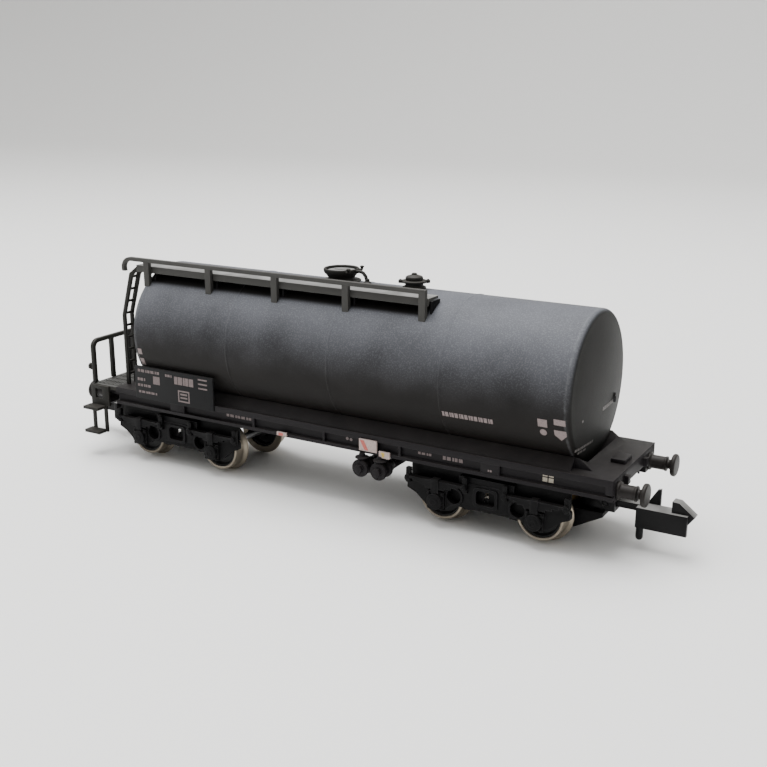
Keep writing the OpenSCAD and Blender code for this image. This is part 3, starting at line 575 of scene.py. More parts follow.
def painted_plank_shadow(tree, parts):
    """Painted shadow of the walkway on the near side of the tank: it is full down to 1 mm below the walkway's
    lowest edge, and fades out within the next half millimetre, past the walkway's ends and towards the far
    side."""
    low, high, middle = span("walkway_plank")
    rise = add(tree, "MapRange", {"Value": parts.outputs["Z"], "From Min": (low[2] - 1.5) * MM,
                                  "From Max": (low[2] - 1.0) * MM}, interpolation_type="SMOOTHSTEP")
    side = add(tree, "MapRange",
               {"Value": parts.outputs["Y"], "From Min": (high[1] + 0.6) * MM, "From Max": high[1] * MM})
    off = add(tree, "Math", {0: parts.outputs["X"], 1: middle[0] * MM}, operation="SUBTRACT")
    off = add(tree, "Math", {0: off.outputs[0]}, operation="ABSOLUTE")
    reach = (high[0] - low[0]) / 2
    along = add(tree, "MapRange",
                {"Value": off.outputs[0], "From Min": (reach + 0.2) * MM, "From Max": (reach - 0.5) * MM})
    mask = add(tree, "Math", {0: rise.outputs["Result"], 1: side.outputs["Result"]}, operation="MULTIPLY")
    mask = add(tree, "Math", {0: mask.outputs[0], 1: along.outputs["Result"]}, operation="MULTIPLY")
    return mask.outputs[0]


def tank_finish():
    """Matte slate paint: fine lighter specks and soft clouds, with painted shade in a brownish tone that
    deepens towards the bottom, darker painted shade on the ends and under the walkway, and a painted
    highlight on the rounded edges."""
    if "Tank paint" in bpy.data.materials:
        return bpy.data.materials["Tank paint"]
    low, high, middle = span("tank_barrel")
    material, tree, shader, where = new_material("Tank paint")
    texture = group_node(tree, "Fine grain", {"Vector": where, "Grain": 6500.0, "Speck Share": 0.50})
    parts = add(tree, "SeparateXYZ", {"Vector": where})
    # Painted shade: from the tank's paint at the top to a dark brownish tone at the bottom, where less light
    # falls; the clouds waver the height a little.
    wavy = add(tree, "Math", {0: texture.outputs["Cloud"], 1: 0.004, 2: parts.outputs["Z"]},
               operation="MULTIPLY_ADD")
    belly_shade_mask = add(tree, "MapRange", {"Value": wavy.outputs[0], "From Min": (low[2] + 7.8) * MM,
                                   "From Max": (high[2] + 1.6) * MM}, interpolation_type="SMOOTHSTEP")
    base = blend(tree, belly_shade_mask.outputs["Result"], tuple(paint().tank_shade_low), tuple(paint().tank))
    dark = blend(tree, belly_shade_mask.outputs["Result"], tuple(0.6 * c for c in paint().tank_shade_low),
                 tuple(0.78 * c for c in paint().tank))
    clouds = add(tree, "MapRange", {"Value": texture.outputs["Cloud"], "From Min": 0.25, "From Max": 0.55})
    cloudy = blend(tree, clouds.outputs["Result"], dark, base)
    share = add(tree, "Math", {0: texture.outputs["Speck"], 1: belly_shade_mask.outputs["Result"]}, operation="MULTIPLY")
    share = add(tree, "Math", {0: share.outputs[0], 1: 0.30}, operation="MULTIPLY")
    speckled = blend(tree, share.outputs[0], cloudy, tuple(paint().tank_speck_and_highlight))
    # Painted shade: faces that look along X, the tank's ends, take the darker olive end colour.
    facing = add(tree, "NewGeometry")
    ahead = add(tree, "SeparateXYZ", {"Vector": facing.outputs["Normal"]})
    ahead = add(tree, "Math", {0: ahead.outputs["X"]}, operation="ABSOLUTE")
    end_shade_share = add(tree, "MapRange", {"Value": ahead.outputs[0], "From Min": 0.55, "From Max": 0.97})
    speckled = blend(tree, end_shade_share.outputs["Result"], speckled, tuple(paint().tank_end))
    # Painted shadow of the walkway, in a darker tone of the low colour.
    shade = blend(tree, painted_plank_shadow(tree, parts), speckled, tuple(0.5 * c for c in paint().tank_shade_low))
    # Painted highlight: the rounded knuckles and seams take the light speck colour.
    edges = group_node(tree, "Rubbed and lit edges", {"Vector": where, "Radius": 0.00045, "Rubbing": 0.4})
    shade = blend(tree, edges.outputs["Mask"], shade, tuple(paint().tank_speck_and_highlight))
    tree.links.new(shade, shader.inputs["Base Color"])
    rough(tree, shader, texture.outputs["Cloud"], 0.50, 0.62)
    bumped(tree, shader, texture.outputs["Height"], 0.45, 0.00003)
    shader.inputs["Specular IOR Level"].default_value = 0.14
    return material


def print_finish(name, tint, wear=0.35):
    """Thin matte print, broken up where the ink is worn."""
    if name in bpy.data.materials:
        return bpy.data.materials[name]
    material, tree, shader, where = new_material(name)
    texture = group_node(tree, "Fine grain", {"Vector": where, "Grain": 5200.0, "Speck Share": 0.5})
    worn = add(tree, "Math", {0: texture.outputs["Speck"], 1: wear}, operation="MULTIPLY")
    shade = blend(tree, worn.outputs[0], tuple(tint), tuple(0.45 * c for c in tint))
    tree.links.new(shade, shader.inputs["Base Color"])
    rough(tree, shader, texture.outputs["Cloud"], 0.5, 0.65)
    bumped(tree, shader, texture.outputs["Height"], 0.2, 0.00001)
    return material


def metal_finish(name, tint, roughness, tarnish, ring_scale):
    """Turned metal: fine rings from the cutting tool, with soft tarnish in the colour and the roughness."""
    if name in bpy.data.materials:
        return bpy.data.materials[name]
    material, tree, shader, where = new_material(name)
    texture = group_node(tree, "Fine grain", {"Vector": where, "Grain": 3000.0, "Speck Share": 0.6})
    dull = add(tree, "MapRange", {"Value": texture.outputs["Cloud"], "From Min": 0.35, "From Max": 0.7})
    shade = blend(tree, dull.outputs["Result"], tuple(tint), tuple(c * tarnish for c in tint))
    tree.links.new(shade, shader.inputs["Base Color"])
    shader.inputs["Metallic"].default_value = 0.9
    rough(tree, shader, dull.outputs["Result"], roughness, roughness + 0.2)
    rings = add(tree, "TexNoise", {"Vector": where, "Scale": ring_scale, "Detail": 2.0})
    bumped(tree, shader, rings.outputs["Fac"], 0.15, 0.00001)
    return material


def nickel_finish():
    return metal_finish("Rim nickel", paint().nickel, 0.34, 0.55, 7000.0)


def steel_finish():
    return metal_finish("Plain steel", paint().steel, 0.30, 0.6, 6000.0)


def brass_finish():
    return metal_finish("Bare brass", paint().brass, 0.28, 0.6, 6000.0)


def ballast_finish():
    return metal_finish("Cast ballast", (0.2, 0.2, 0.21), 0.55, 0.5, 2500.0)


# ---------------------------------------------------------------- tank


class Piece:
    """What every operator of this file shares."""

    bl_options = {"REGISTER", "UNDO"}


class WAGON_OT_tank(Piece, bpy.types.Operator):
    """Build the tank's barrel with its weld seams, and its two shallow ends"""

    bl_idname = "wagon.tank"
    bl_label = "Tank"

    def execute(self, context):
        low, high, middle = span("tank_barrel")
        radius = (high[1] - low[1]) / 2 - sizes().seam_h
        self.barrel(low, high, middle, radius)
        for side, node, rim in ((1, "tank_end_right", high[0]), (-1, "tank_end_left", low[0])):
            self.end(side, node, rim, middle[2], radius)
        weight = frame["nodes"]["ballast_weight"]
        weight.data.materials.clear()
        weight.data.materials.append(ballast_finish())
        return {"FINISHED"}

    def barrel(self, low, high, middle, radius):
        """Outer radius R + h exp(-(x - seam)^2 / w^2) along X, closed by the inner wall at R - wall."""
        seams = middle[0] + np.array([-1, 0, 1]) * (high[0] - low[0]) / 4
        near = np.linspace(-3, 3, 13) * sizes().seam_w
        x = np.unique(np.concatenate([[low[0], high[0]], (seams[:, None] + near).ravel(),
                                      np.linspace(low[0], high[0], 25)]))
        bead = np.exp(-(((x[:, None] - seams) / sizes().seam_w) ** 2)).sum(axis=1)
        outer = np.stack([radius + sizes().seam_h * bead, x], axis=-1)
        inner = np.array([[radius - sizes().wall, high[0]], [radius - sizes().wall, low[0]]])
        shell = turned(np.vstack([outer, inner]), (0, 0, middle[2]), "x", sizes().turns, closed=True)
        piece = build("tank_shell", [shell])
        fit(piece, tank_finish(), "wagon", ["tank_barrel"])

    def end(self, side, node, rim, height, radius):
        """A quarter-circle knuckle from the barrel's edge, then a shallow sphere cap to the axis."""
        knuckle, depth, wall = sizes().knuckle, sizes().dome, sizes().wall
        flat = radius - knuckle
        sphere = (flat**2 + depth**2) / (2 * depth)
        r = np.linspace(0, flat, 14)
        cap = np.stack([r, knuckle + depth - sphere + np.sqrt(sphere**2 - r**2)], axis=-1)
        rounding = arc((flat, 0), knuckle, 90, 0, 9)[1:]
        bore = radius - wall
        inside = [(bore, 0), (bore, -1.5), (bore - wall, -1.5), (bore - wall, 0.2),
                  (0, knuckle + depth - wall)]
        profile = np.vstack([cap, rounding, inside])
        shell = turned(profile, (0, 0, 0), "x", sizes().turns)
        lug_y, lug_z = 3.9, -2.0
        reach = math.hypot(lug_y, lug_z)
        face = knuckle + depth - sphere + math.sqrt(sphere**2 - reach**2)
        tongue = plate(rounded_outline(rectangle(lug_y - 0.2, lug_y + 0.2, lug_z - 0.8, lug_z - 0.1), 0.12),
                       face - 0.3, face + 0.3, "x", 0.06)
        stud_shape = rounded_profile([(0, face - 0.3), (0.25, face - 0.3), (0.25, face + 0.16),
                                      (0, face + 0.24)], 0.1)
        stud = turned(stud_shape, (0, lug_y, lug_z + 0.1), "x", 20)
        shapes = [moved((s[0] * np.array([side, 1, 1]), s[1]), (rim, 0, height))
                  for s in (shell, tongue, stud)]
        piece = build(node + "_cap", shapes)
        fit(piece, tank_finish(), "wagon", [node])


class WAGON_OT_manhole(Piece, bpy.types.Operator):
    """Build the filling manhole: its dished neck with a thick rim, its lid and its hinge"""

    bl_idname = "wagon.manhole"
    bl_label = "Manhole"

    def execute(self, context):
        low, high, middle = span("manhole_neck")
        top = high[2]
        centre = (middle[0], middle[1], top)
        neck = rounded_profile(
            [(1.4, -2.1), (2.5, -2.1), (2.5, -1.5), (1.75, -1.38), (1.66, -1.15), (1.95, -0.8), (2.2, -0.52),
             (2.29, -0.2), (2.2, 0), (2.04, 0), (1.95, -0.12), (1.9, -0.6), (1.4, -0.95)], 0.09)
        piece = build("manhole_dish", [turned(neck, centre, "z", 96, closed=True)])
        fit(piece, fitting_finish(), "wagon", ["manhole_neck"])
        lid = rounded_profile(
            [(0, -0.9), (1.88, -0.9), (1.88, -0.34), (1.7, -0.28), (1.55, -0.31), (1.0, -0.27), (0, -0.25)],
            0.1)
        bar = plate(rounded_outline(rectangle(centre[0] - 1.0, centre[0] + 1.0, -0.12, 0.12), 0.1),
                    top - 0.32, top - 0.18, "z", 0.05)
        piece = build("manhole_plate", [turned(lid, centre, "z", 96), bar])
        fit(piece, plank_finish(), "wagon", ["manhole_lid"])
        self.hinge(centre, top)
        return {"FINISHED"}

    def hinge(self, centre, top):
        """Two eye bolts in forks on the rim's +X side, and the hinge arm with its sloping stem."""
        shapes = []
        knob = rounded_profile([(0, -0.3), (0.14, -0.3), (0.14, -0.02), (0.26, 0.04), (0.28, 0.18),
                                (0.16, 0.27), (0, 0.28)], 0.06)
        for angle in np.radians([-38, 30]):
            out = np.array([math.cos(angle), math.sin(angle), 0])
            place = np.array(centre) + out * 2.58
            shapes.append(turned(knob, place, "z", 20))
            for across in (-1, 1):
                side = np.array([-out[1], out[0], 0]) * 0.2 * across
                start = place + side - out * 0.5 - np.array([0, 0, 0.22])
                shapes.append(tube(np.linspace(start, start + out * 0.6, 4), 0.11, 8))
        x = centre[0]
        arm = [(x + 2.05, 0, top - 0.35), (x + 2.7, 0, top - 0.25), (x + 3.2, 0, top - 0.4),
               (x + 3.55, 0, top - 0.8), (x + 3.75, 0, top - 1.4)]
        shapes.append(tube(arm, 0.22, 12))
        foot = rounded_profile([(0, -1.75), (0.5, -1.75), (0.5, -1.5), (0.3, -1.4), (0.28, -1.1),
                                (0, -1.05)], 0.08)
        shapes.append(turned(foot, (x + 3.78, 0, top), "z", 24))
        piece = build("manhole_hinge", shapes)
        fit(piece, fitting_finish(), "wagon", ["manhole_clamps"])


class WAGON_OT_vent_valve(Piece, bpy.types.Operator):
    """Build the vent valve: neck and flange with two ears, and the low domed cap"""

    bl_idname = "wagon.vent_valve"
    bl_label = "Vent valve"

    def execute(self, context):
        low, high, middle = span("vent_valve_body")
        cap_low, cap_high, cap_middle = span("vent_valve_cap")
        x, seat = cap_middle[0], cap_low[2]
        body = rounded_profile(
            [(0, -1.2), (1.45, -1.2), (1.45, -0.8), (1.15, -0.7), (1.1, -0.55), (1.1, -0.34), (1.5, -0.3),
             (1.56, -0.18), (1.5, -0.02), (0.6, 0.0), (0, 0.0)], 0.06)
        shapes = [turned(body, (x, 0, seat), "z", 48)]
        angle = math.radians(30)
        out = np.array([math.cos(angle), math.sin(angle)])
        across = np.array([-out[1], out[0]])
        for way in (1, -1):
            ear = arc((0, 0), 0.32, -90, 90, 9)
            ear = np.vstack([[(-0.5, -0.32)], ear, [(-0.5, 0.32)]])
            flat = np.array([x, 0]) + way * ((1.62 + ear[:, :1]) * out + ear[:, 1:] * across)
            shapes.append(plate(flat, seat - 0.34, seat + 0.02, "z", 0.05))
            bolt = rounded_profile([(0, -0.1), (0.15, -0.1), (0.15, 0.1), (0, 0.14)], 0.05)
            shapes.append(turned(bolt, (*(np.array([x, 0]) + way * 1.68 * out), seat), "z", 16))
        piece = build("vent_valve_flange", shapes)
        fit(piece, fitting_finish(), "wagon", ["vent_valve_body"])
        height = cap_high[2] - cap_low[2]
        dome = np.vstack([[(0, 0)], [(1.05, 0)], arc((0.8, 0.24), 0.28, -10, 62, 6),
                          [(0.62, height - 0.3), (0.36, height - 0.2), (0.32, height - 0.05), (0.2, height),
                           (0, height)]])
        piece = build("vent_valve_dome", [turned(dome, (x, 0, seat), "z", 48)])
        fit(piece, fitting_finish(), "wagon", ["vent_valve_cap"])
        return {"FINISHED"}


class WAGON_OT_walkway(Piece, bpy.types.Operator):
    """Finish the walkway plank, its posts and handrail, its brackets and the ladder"""

    bl_idname = "wagon.walkway"
    bl_label = "Walkway and ladder"

    def execute(self, context):
        softened("walkway_plank", plank_finish(), sizes().fine_edge)
        softened("walkway_rail", walkway_finish(), sizes().fine_edge)
        softened("ladder", fitting_finish(), sizes().fine_edge)
        softened("walkway_brackets", bogie_finish(), sizes().fine_edge)
        return {"FINISHED"}


# ---------------------------------------------------------------- underframe


class WAGON_OT_underframe(Piece, bpy.types.Operator):
    """Finish the underframe and the box on its deck, and put the bolt heads on the headstock"""

    bl_idname = "wagon.underframe"
    bl_label = "Underframe"

    def execute(self, context):
        for node in ("underframe", "deck_box", "drain_pipes"):
            softened(node, frame_finish())
        low, high, middle = span("underframe")
        headstock = high[0] - 0.5
        shapes = []
        stud = rounded_profile([(0, -0.1), (0.16, -0.1), (0.16, 0.08), (0, 0.14)], 0.05)
        for y in (-6.9, -6.2, -4.2, -1.6, 1.6, 4.2, 6.2, 6.9):
            shapes.append(turned(stud, (headstock, y, high[2] - 3.2), "x", 14))
        piece = build("headstock_bolts", shapes)
        fit(piece, frame_finish(), "wagon")
        return {"FINISHED"}


class WAGON_OT_platform(Piece, bpy.types.Operator):
    """Finish the brake platform with its studded tread, the railing, the footsteps and the lamp brackets"""

    bl_idname = "wagon.platform"
    bl_label = "Brake platform"

    def execute(self, context):
        softened("brake_platform", platform_finish())
        softened("platform_railing", fitting_finish(), 0.12)
        for node in ("footsteps_near", "footsteps_far"):
            softened(node, fitting_finish())
        softened("lamp_bracket", fitting_finish(), sizes().fine_edge)
        self.tread()
        return {"FINISHED"}

    def tread(self):
        """Rows of small studs: each is an eight-sided cone cut short, and every second row moves by half a
        pitch."""
        low, high, middle = span("brake_platform")
        pitch, radius = sizes().dot_pitch, sizes().dot_r
        stud = np.array([(radius, -0.03), (radius * 0.75, 0.05), (0, 0.07)])
        columns = np.arange(low[0] + 0.75, high[0] - 0.4, pitch)
        rows = np.arange(low[1] + 0.7, high[1] - 0.6, pitch)
        shapes = [
            turned(stud, (x, y + (i % 2) * pitch / 2, high[2]), "z", 8)
            for i, x in enumerate(columns)
            for y in rows
        ]
        piece = build("platform_tread", shapes)
        fit(piece, platform_finish(), "wagon")


class WAGON_OT_boards(Piece, bpy.types.Operator):
    """Finish the signboards and the small placards"""

    bl_idname = "wagon.boards"
    bl_label = "Boards and placards"

    def execute(self, context):
        for node in ("signboard_near", "signboard_far"):
            softened(node, board_finish())
        for node in ("placards_near", "placards_far"):
            softened(node, print_finish("Placard ground", paint().placard), sizes().fine_edge)
        return {"FINISHED"}


# ---------------------------------------------------------------- marks


def on_side(outline, face, way, thickness):
    """A flat mark: its outline in X and Z, laid on a face at y = face that looks along way."""
    low, high = sorted((face - way * 0.02, face + way * thickness))
    return plate(outline, low, high, "y", 0.005, 2)


def bars(x0, x1, z0, z1, count, gap=0.28):
    """Outlines of a row of blocks that stands for a line of print: widths swing between narrow and wide with
    the sine of the block's number, and the gaps take a fixed share."""
    share = 1 + 0.45 * np.sin(2.1 * np.arange(count))
    share *= (x1 - x0) / share.sum()
    left = x0 + np.concatenate([[0], np.cumsum(share)[:-1]])
    return [rectangle(a, a + w * (1 - gap), z0, z1) for a, w in zip(left, share)]


def disc(x, z, radius, count=20):
    angle = np.linspace(0, 2 * np.pi, count, endpoint=False)
    return np.stack([x + radius * np.cos(angle), z + radius * np.sin(angle)], axis=-1)


def wrapped(outline, axis_z, radius, way, thickness):
    """A mark that lies on the barrel: the flat outline in X and height becomes y = way * cos(a) and
    z = sin(a) times the radius, with a the height's arcsine."""
    coords, faces = plate(outline, 0, 1, "y", 0.001, 2)
    r = radius - 0.03 + coords[:, 1] * (0.03 + thickness)
    a = np.arcsin(np.clip((coords[:, 2] - axis_z) / radius, -1, 1))
    return np.stack([coords[:, 0], way * r * np.cos(a), axis_z + r * np.sin(a)], axis=-1), faces


class WAGON_OT_marks(Piece, bpy.types.Operator):
    """Lay the printed marks on the tank, signboards and solebars, as plain blocks without lettering"""

    bl_idname = "wagon.marks"
    bl_label = "Printed marks"

    def execute(self, context):
        self.tank_marks()
        self.board_marks()
        self.solebar_marks()
        self.placard_marks()
        return {"FINISHED"}

    def lay(self, name, shapes, tint="Pale print", value=None):
        piece = build(name, shapes)
        fit(piece, print_finish(tint, value or paint().print_pink), "wagon")

    def tank_marks(self):
        low, high, middle = span("tank_barrel")
        radius = (high[1] - low[1]) / 2 - sizes().seam_h
        axis_z, t = middle[2], sizes().print_t
        right, left = high[0], low[0]
        line_z, panel_z = axis_z - 3.85, axis_z - 3.1
        row = bars(right - 15.1, right - 8.6, line_z, line_z + 0.6, 16)
        block_mark = [rectangle(right - 3.2, right - 2.1, panel_z + 0.05, panel_z + 1.0),
                      disc(right - 2.65, panel_z - 0.65, 0.4)]
        panel = [rectangle(right - 1.3, right + 0.05, panel_z + 0.55, panel_z + 1.25),
                 [(right - 1.35, panel_z - 0.1), (right - 1.35, panel_z - 0.75),
                  (right - 0.65, panel_z - 1.4), (right + 0.05, panel_z - 0.75),
                  (right + 0.05, panel_z - 0.1)]]
        far_left = [rectangle(left + 0.1, left + 0.75, axis_z - 2.4, axis_z - 1.6),
                    rectangle(left + 0.1, left + 0.75, axis_z - 4.0, axis_z - 3.0)]
        for side, way in (("near", -1), ("far", 1)):
            shapes = [wrapped(o, axis_z, radius, way, t) for o in row + block_mark + panel + far_left]
            self.lay("tank_marks_" + side, shapes)
        low_marks = [bars(-6.4, -1.9, axis_z - 6.05, axis_z - 5.75, 9),
                     bars(-5.6, -3.6, axis_z - 6.5, axis_z - 6.25, 4)]
        end_marks = bars(-0.2, 4.6, axis_z - 2.8, axis_z - 2.35, 10) + [disc(-5.6, axis_z - 2.6, 0.16, 14)]
        shapes = [self.domed(o, high[0], axis_z, radius) for o in end_marks + low_marks[0] + low_marks[1]]
        self.lay("tank_end_marks", shapes, "Faint print", paint().print_faint)

    def domed(self, outline, rim, axis_z, radius):
        """A mark on the shallow end: x follows the sphere cap at the point's distance from the axis."""
        knuckle, depth = sizes().knuckle, sizes().dome
        flat = radius - knuckle
        sphere = (flat**2 + depth**2) / (2 * depth)
        coords, faces = plate(outline, 0, 1, "x", 0.001, 2)
        reach = np.hypot(coords[:, 1], coords[:, 2] - axis_z)
        x = rim + knuckle + depth - sphere + np.sqrt(sphere**2 - reach**2)
        return np.stack([x - 0.03 + coords[:, 0] * (0.03 + sizes().print_t), coords[:, 1], coords[:, 2]],
                        axis=-1), faces

    def board_marks(self):
        t = sizes().print_t
        for node, way in (("signboard_near", -1), ("signboard_far", 1)):
            low, high, middle = span(node)
            face = low[1] if way < 0 else high[1]
            x, z = low[0], low[2]
            rows = bars(x + 0.6, x + 4.5, z + 3.72, z + 4.1, 7)
            rows += [rectangle(x + 3.25, x + 4.4, z + 2.3, z + 3.4)]
            rows += bars(x + 0.5, x + 1.9, z + 2.5, z + 2.9, 3)
            rows += bars(x + 0.5, x + 2.9, z + 1.7, z + 2.05, 5)
            rows += bars(x + 0.6, x + 3.9, z + 0.8, z + 1.1, 6)
            rows += bars(x + 5.4, x + 6.6, z + 3.65, z + 4.0, 3)
            rows += bars(x + 6.95, x + 10.3, z + 2.85, z + 3.9, 5, 0.14)
            rows += [rectangle(x + 11, x + 12.5, z + h, z + h + 0.2) for h in (2.75, 3.35, 3.95)]
            rows += self.square_frame(x + 7.5, x + 9.45, z + 0.5, z + 2.1)
            shapes = [on_side(o, face, way, t) for o in rows]
            self.lay(node + "_marks", shapes, "Worn print", paint().print_worn)

    def square_frame(self, x0, x1, z0, z1, bar=0.2):
        """Four bars round a square and two more across it."""
        return [rectangle(x0, x1, z0, z0 + bar), rectangle(x0, x1, z1 - bar, z1),
                rectangle(x0, x0 + bar, z0 + bar, z1 - bar), rectangle(x1 - bar, x1, z0 + bar, z1 - bar),
                rectangle(x0 + 0.4, x1 - 0.4, z0 + 0.5, z0 + 0.72),
                rectangle(x0 + 0.4, x1 - 0.4, z0 + 0.95, z0 + 1.2)]

    def solebar_marks(self):
        high = span("underframe")[1]
        deck = span("brake_platform")[1][2]
        t = sizes().print_t
        for side, way in (("near", -1), ("far", 1)):
            face = way * (high[1] - sizes().web_in)
            groups = (bars(-14.5, -10.3, deck - 1.35, deck - 1.0, 7)
                      + bars(14.2, 16.1, deck - 1.4, deck - 1.1, 4))
            groups += bars(17.5, 20.3, deck - 1.5, deck - 1.05, 5)
            groups += [disc(4.25, deck - 1.2, 0.2, 12), disc(4.8, deck - 1.25, 0.2, 12)]
            shapes = [on_side(o, face, way, t) for o in groups]
            plate_face = way * (high[1] - sizes().frame_plate_in)
            shapes += [on_side(o, plate_face, way, t) for o in bars(23.5, 24.1, deck - 1.75, deck - 1.5, 2)]
            self.lay("solebar_marks_" + side, shapes, "Worn print", paint().print_worn)
            grid_mark = [rectangle(x, x + 0.58, z, z + 0.5)
                         for x in (30.05, 30.78) for z in (deck - 1.75, deck - 1.12)]
            self.lay("solebar_label_" + side, [on_side(o, face, way, t) for o in grid_mark], "Cream print",
                     paint().print_cream)

    def placard_marks(self):
        t = sizes().print_t
        for node, way in (("placards_near", -1), ("placards_far", 1)):
            low, high, middle = span(node)
            face = low[1] if way < 0 else high[1]
            z = high[2]
            stripe = [(6.55, z - 0.15), (7.1, z - 0.15), (7.75, z - 1.35), (7.2, z - 1.35)]
            square = rectangle(-5.6, -4.9, low[2] + 0.35, low[2] + 0.7)
            piece = build(node + "_stripe", [on_side(stripe, face, way, t), on_side(square, face, way, t)])
            fit(piece, print_finish("Red print", paint().placard_red), "wagon")
            corner = [(9.5, z - 1.25), (10.0, z - 1.25), (10.0, z - 1.75), (9.75, z - 1.9)]
            piece = build(node + "_corner", [on_side(corner, face, way, t)])
            fit(piece, print_finish("Yellow print", paint().placard_yellow), "wagon")


# ---------------------------------------------------------------- fittings below the deck


class WAGON_OT_drain_valves(Piece, bpy.types.Operator):
    """Build the two drain valves of each side: ribbed body, bolted front flange, cap nut and lever disc"""

    bl_idname = "wagon.drain_valves"
    bl_label = "Drain valves"

    def execute(self, context):
        for node, way in (("drain_valves_near", -1), ("drain_valves_far", 1)):
            low, high, middle = span(node)
            front = high[1] if way > 0 else -low[1]
            xs = (low[0] + 1.12, high[0] - 1.12)
            z = low[2] + 1.12
            top = high[2]
            shapes = []
            for x in xs:
                shapes += self.valve(x, way, front, z, top)
            piece = build(node + "_turned", shapes)
            fit(piece, frame_finish(), "wagon", [node])
        return {"FINISHED"}

    def valve(self, x, way, front, z, top):
        """The body turned about Y, with its distance counted inwards from the nut's face."""
        profile = np.array(
            [(0, 0.45), (0.7, 0.45), (1.08, 0.5), (1.12, 0.6), (1.12, 0.82), (1.04, 0.9), (0.84, 0.95),
             (0.8, 1.3), (0.86, 1.9), (1.08, 1.95), (1.12, 2.05), (1.12, 2.3), (1.04, 2.38),
             (0.85, 2.42), (0.78, 3.2), (0.7, 3.6), (0, 3.62)])
        profile = rounded_profile(profile, 0.06)
        profile[:, 1] = way * (front - profile[:, 1])
        shapes = [turned(profile, (x, 0, z), "y", 40)]
        nut = np.stack([x + 0.56 * np.cos(np.radians(np.arange(0, 360, 60))),
                        z + 0.56 * np.sin(np.radians(np.arange(0, 360, 60)))], axis=-1)
        y = sorted((way * front, way * (front - 0.5)))
        shapes.append(plate(rounded_outline(nut, 0.08), y[0], y[1], "y", 0.08))
        bolt = rounded_profile([(0, front - 0.4), (0.13, front - 0.4), (0.13, front - 0.6),
                                (0, front - 0.6)], 0.03)
        bolt[:, 1] *= way
        for angle in np.radians(np.arange(30, 390, 60)):
            shapes.append(turned(bolt, (x + 0.88 * math.cos(angle), 0, z + 0.88 * math.sin(angle)), "y", 10))
        y_stem = way * (front - 1.1)
        stem = rounded_profile([(0, 0.8), (0.38, 0.8), (0.38, 1.2), (0.82, 1.24), (0.88, 1.32), (0.82, 1.4),
                                (0.36, 1.44), (0.36, top - z), (0, top - z)], 0.05)
        shapes.append(turned(stem, (x, y_stem, z), "z", 28))
        return shapes


class WAGON_OT_buffers(Piece, bpy.types.Operator):
    """Build the four buffers: base plate, sleeve, plunger and rounded flat head"""

    bl_idname = "wagon.buffers"
    bl_label = "Buffers"

    def execute(self, context):
        for end, way in (("right", 1), ("left", -1)):
            for side in ("near", "far"):
                node = f"buffer_{end}_{side}"
                low, high, middle = span(node)
                base = low[0] if way > 0 else high[0]
                reach = high[0] - low[0]
                head = (high[1] - low[1]) / 2
                profile = rounded_profile(
                    [(0, -0.02), (1.05, -0.02), (1.05, 0.28), (0.86, 0.34), (0.8, 0.5), (0.8, reach * 0.58),
                     (0.88, reach * 0.6), (0.88, reach * 0.66), (0.56, reach * 0.67), (0.54, reach - 0.85),
                     (0.66, reach - 0.66), (head - 0.05, reach - 0.5), (head, reach - 0.35),
                     (head, reach - 0.12), (head - 0.13, reach), (0, reach)], 0.07, 4)
                profile[:, 1] *= way
                piece = build(node + "_turned", [turned(profile, (base, middle[1], middle[2]), "x", 56)], 50)
                fit(piece, buffer_finish(), "wagon", [node])
        return {"FINISHED"}


# ---------------------------------------------------------------- running gear


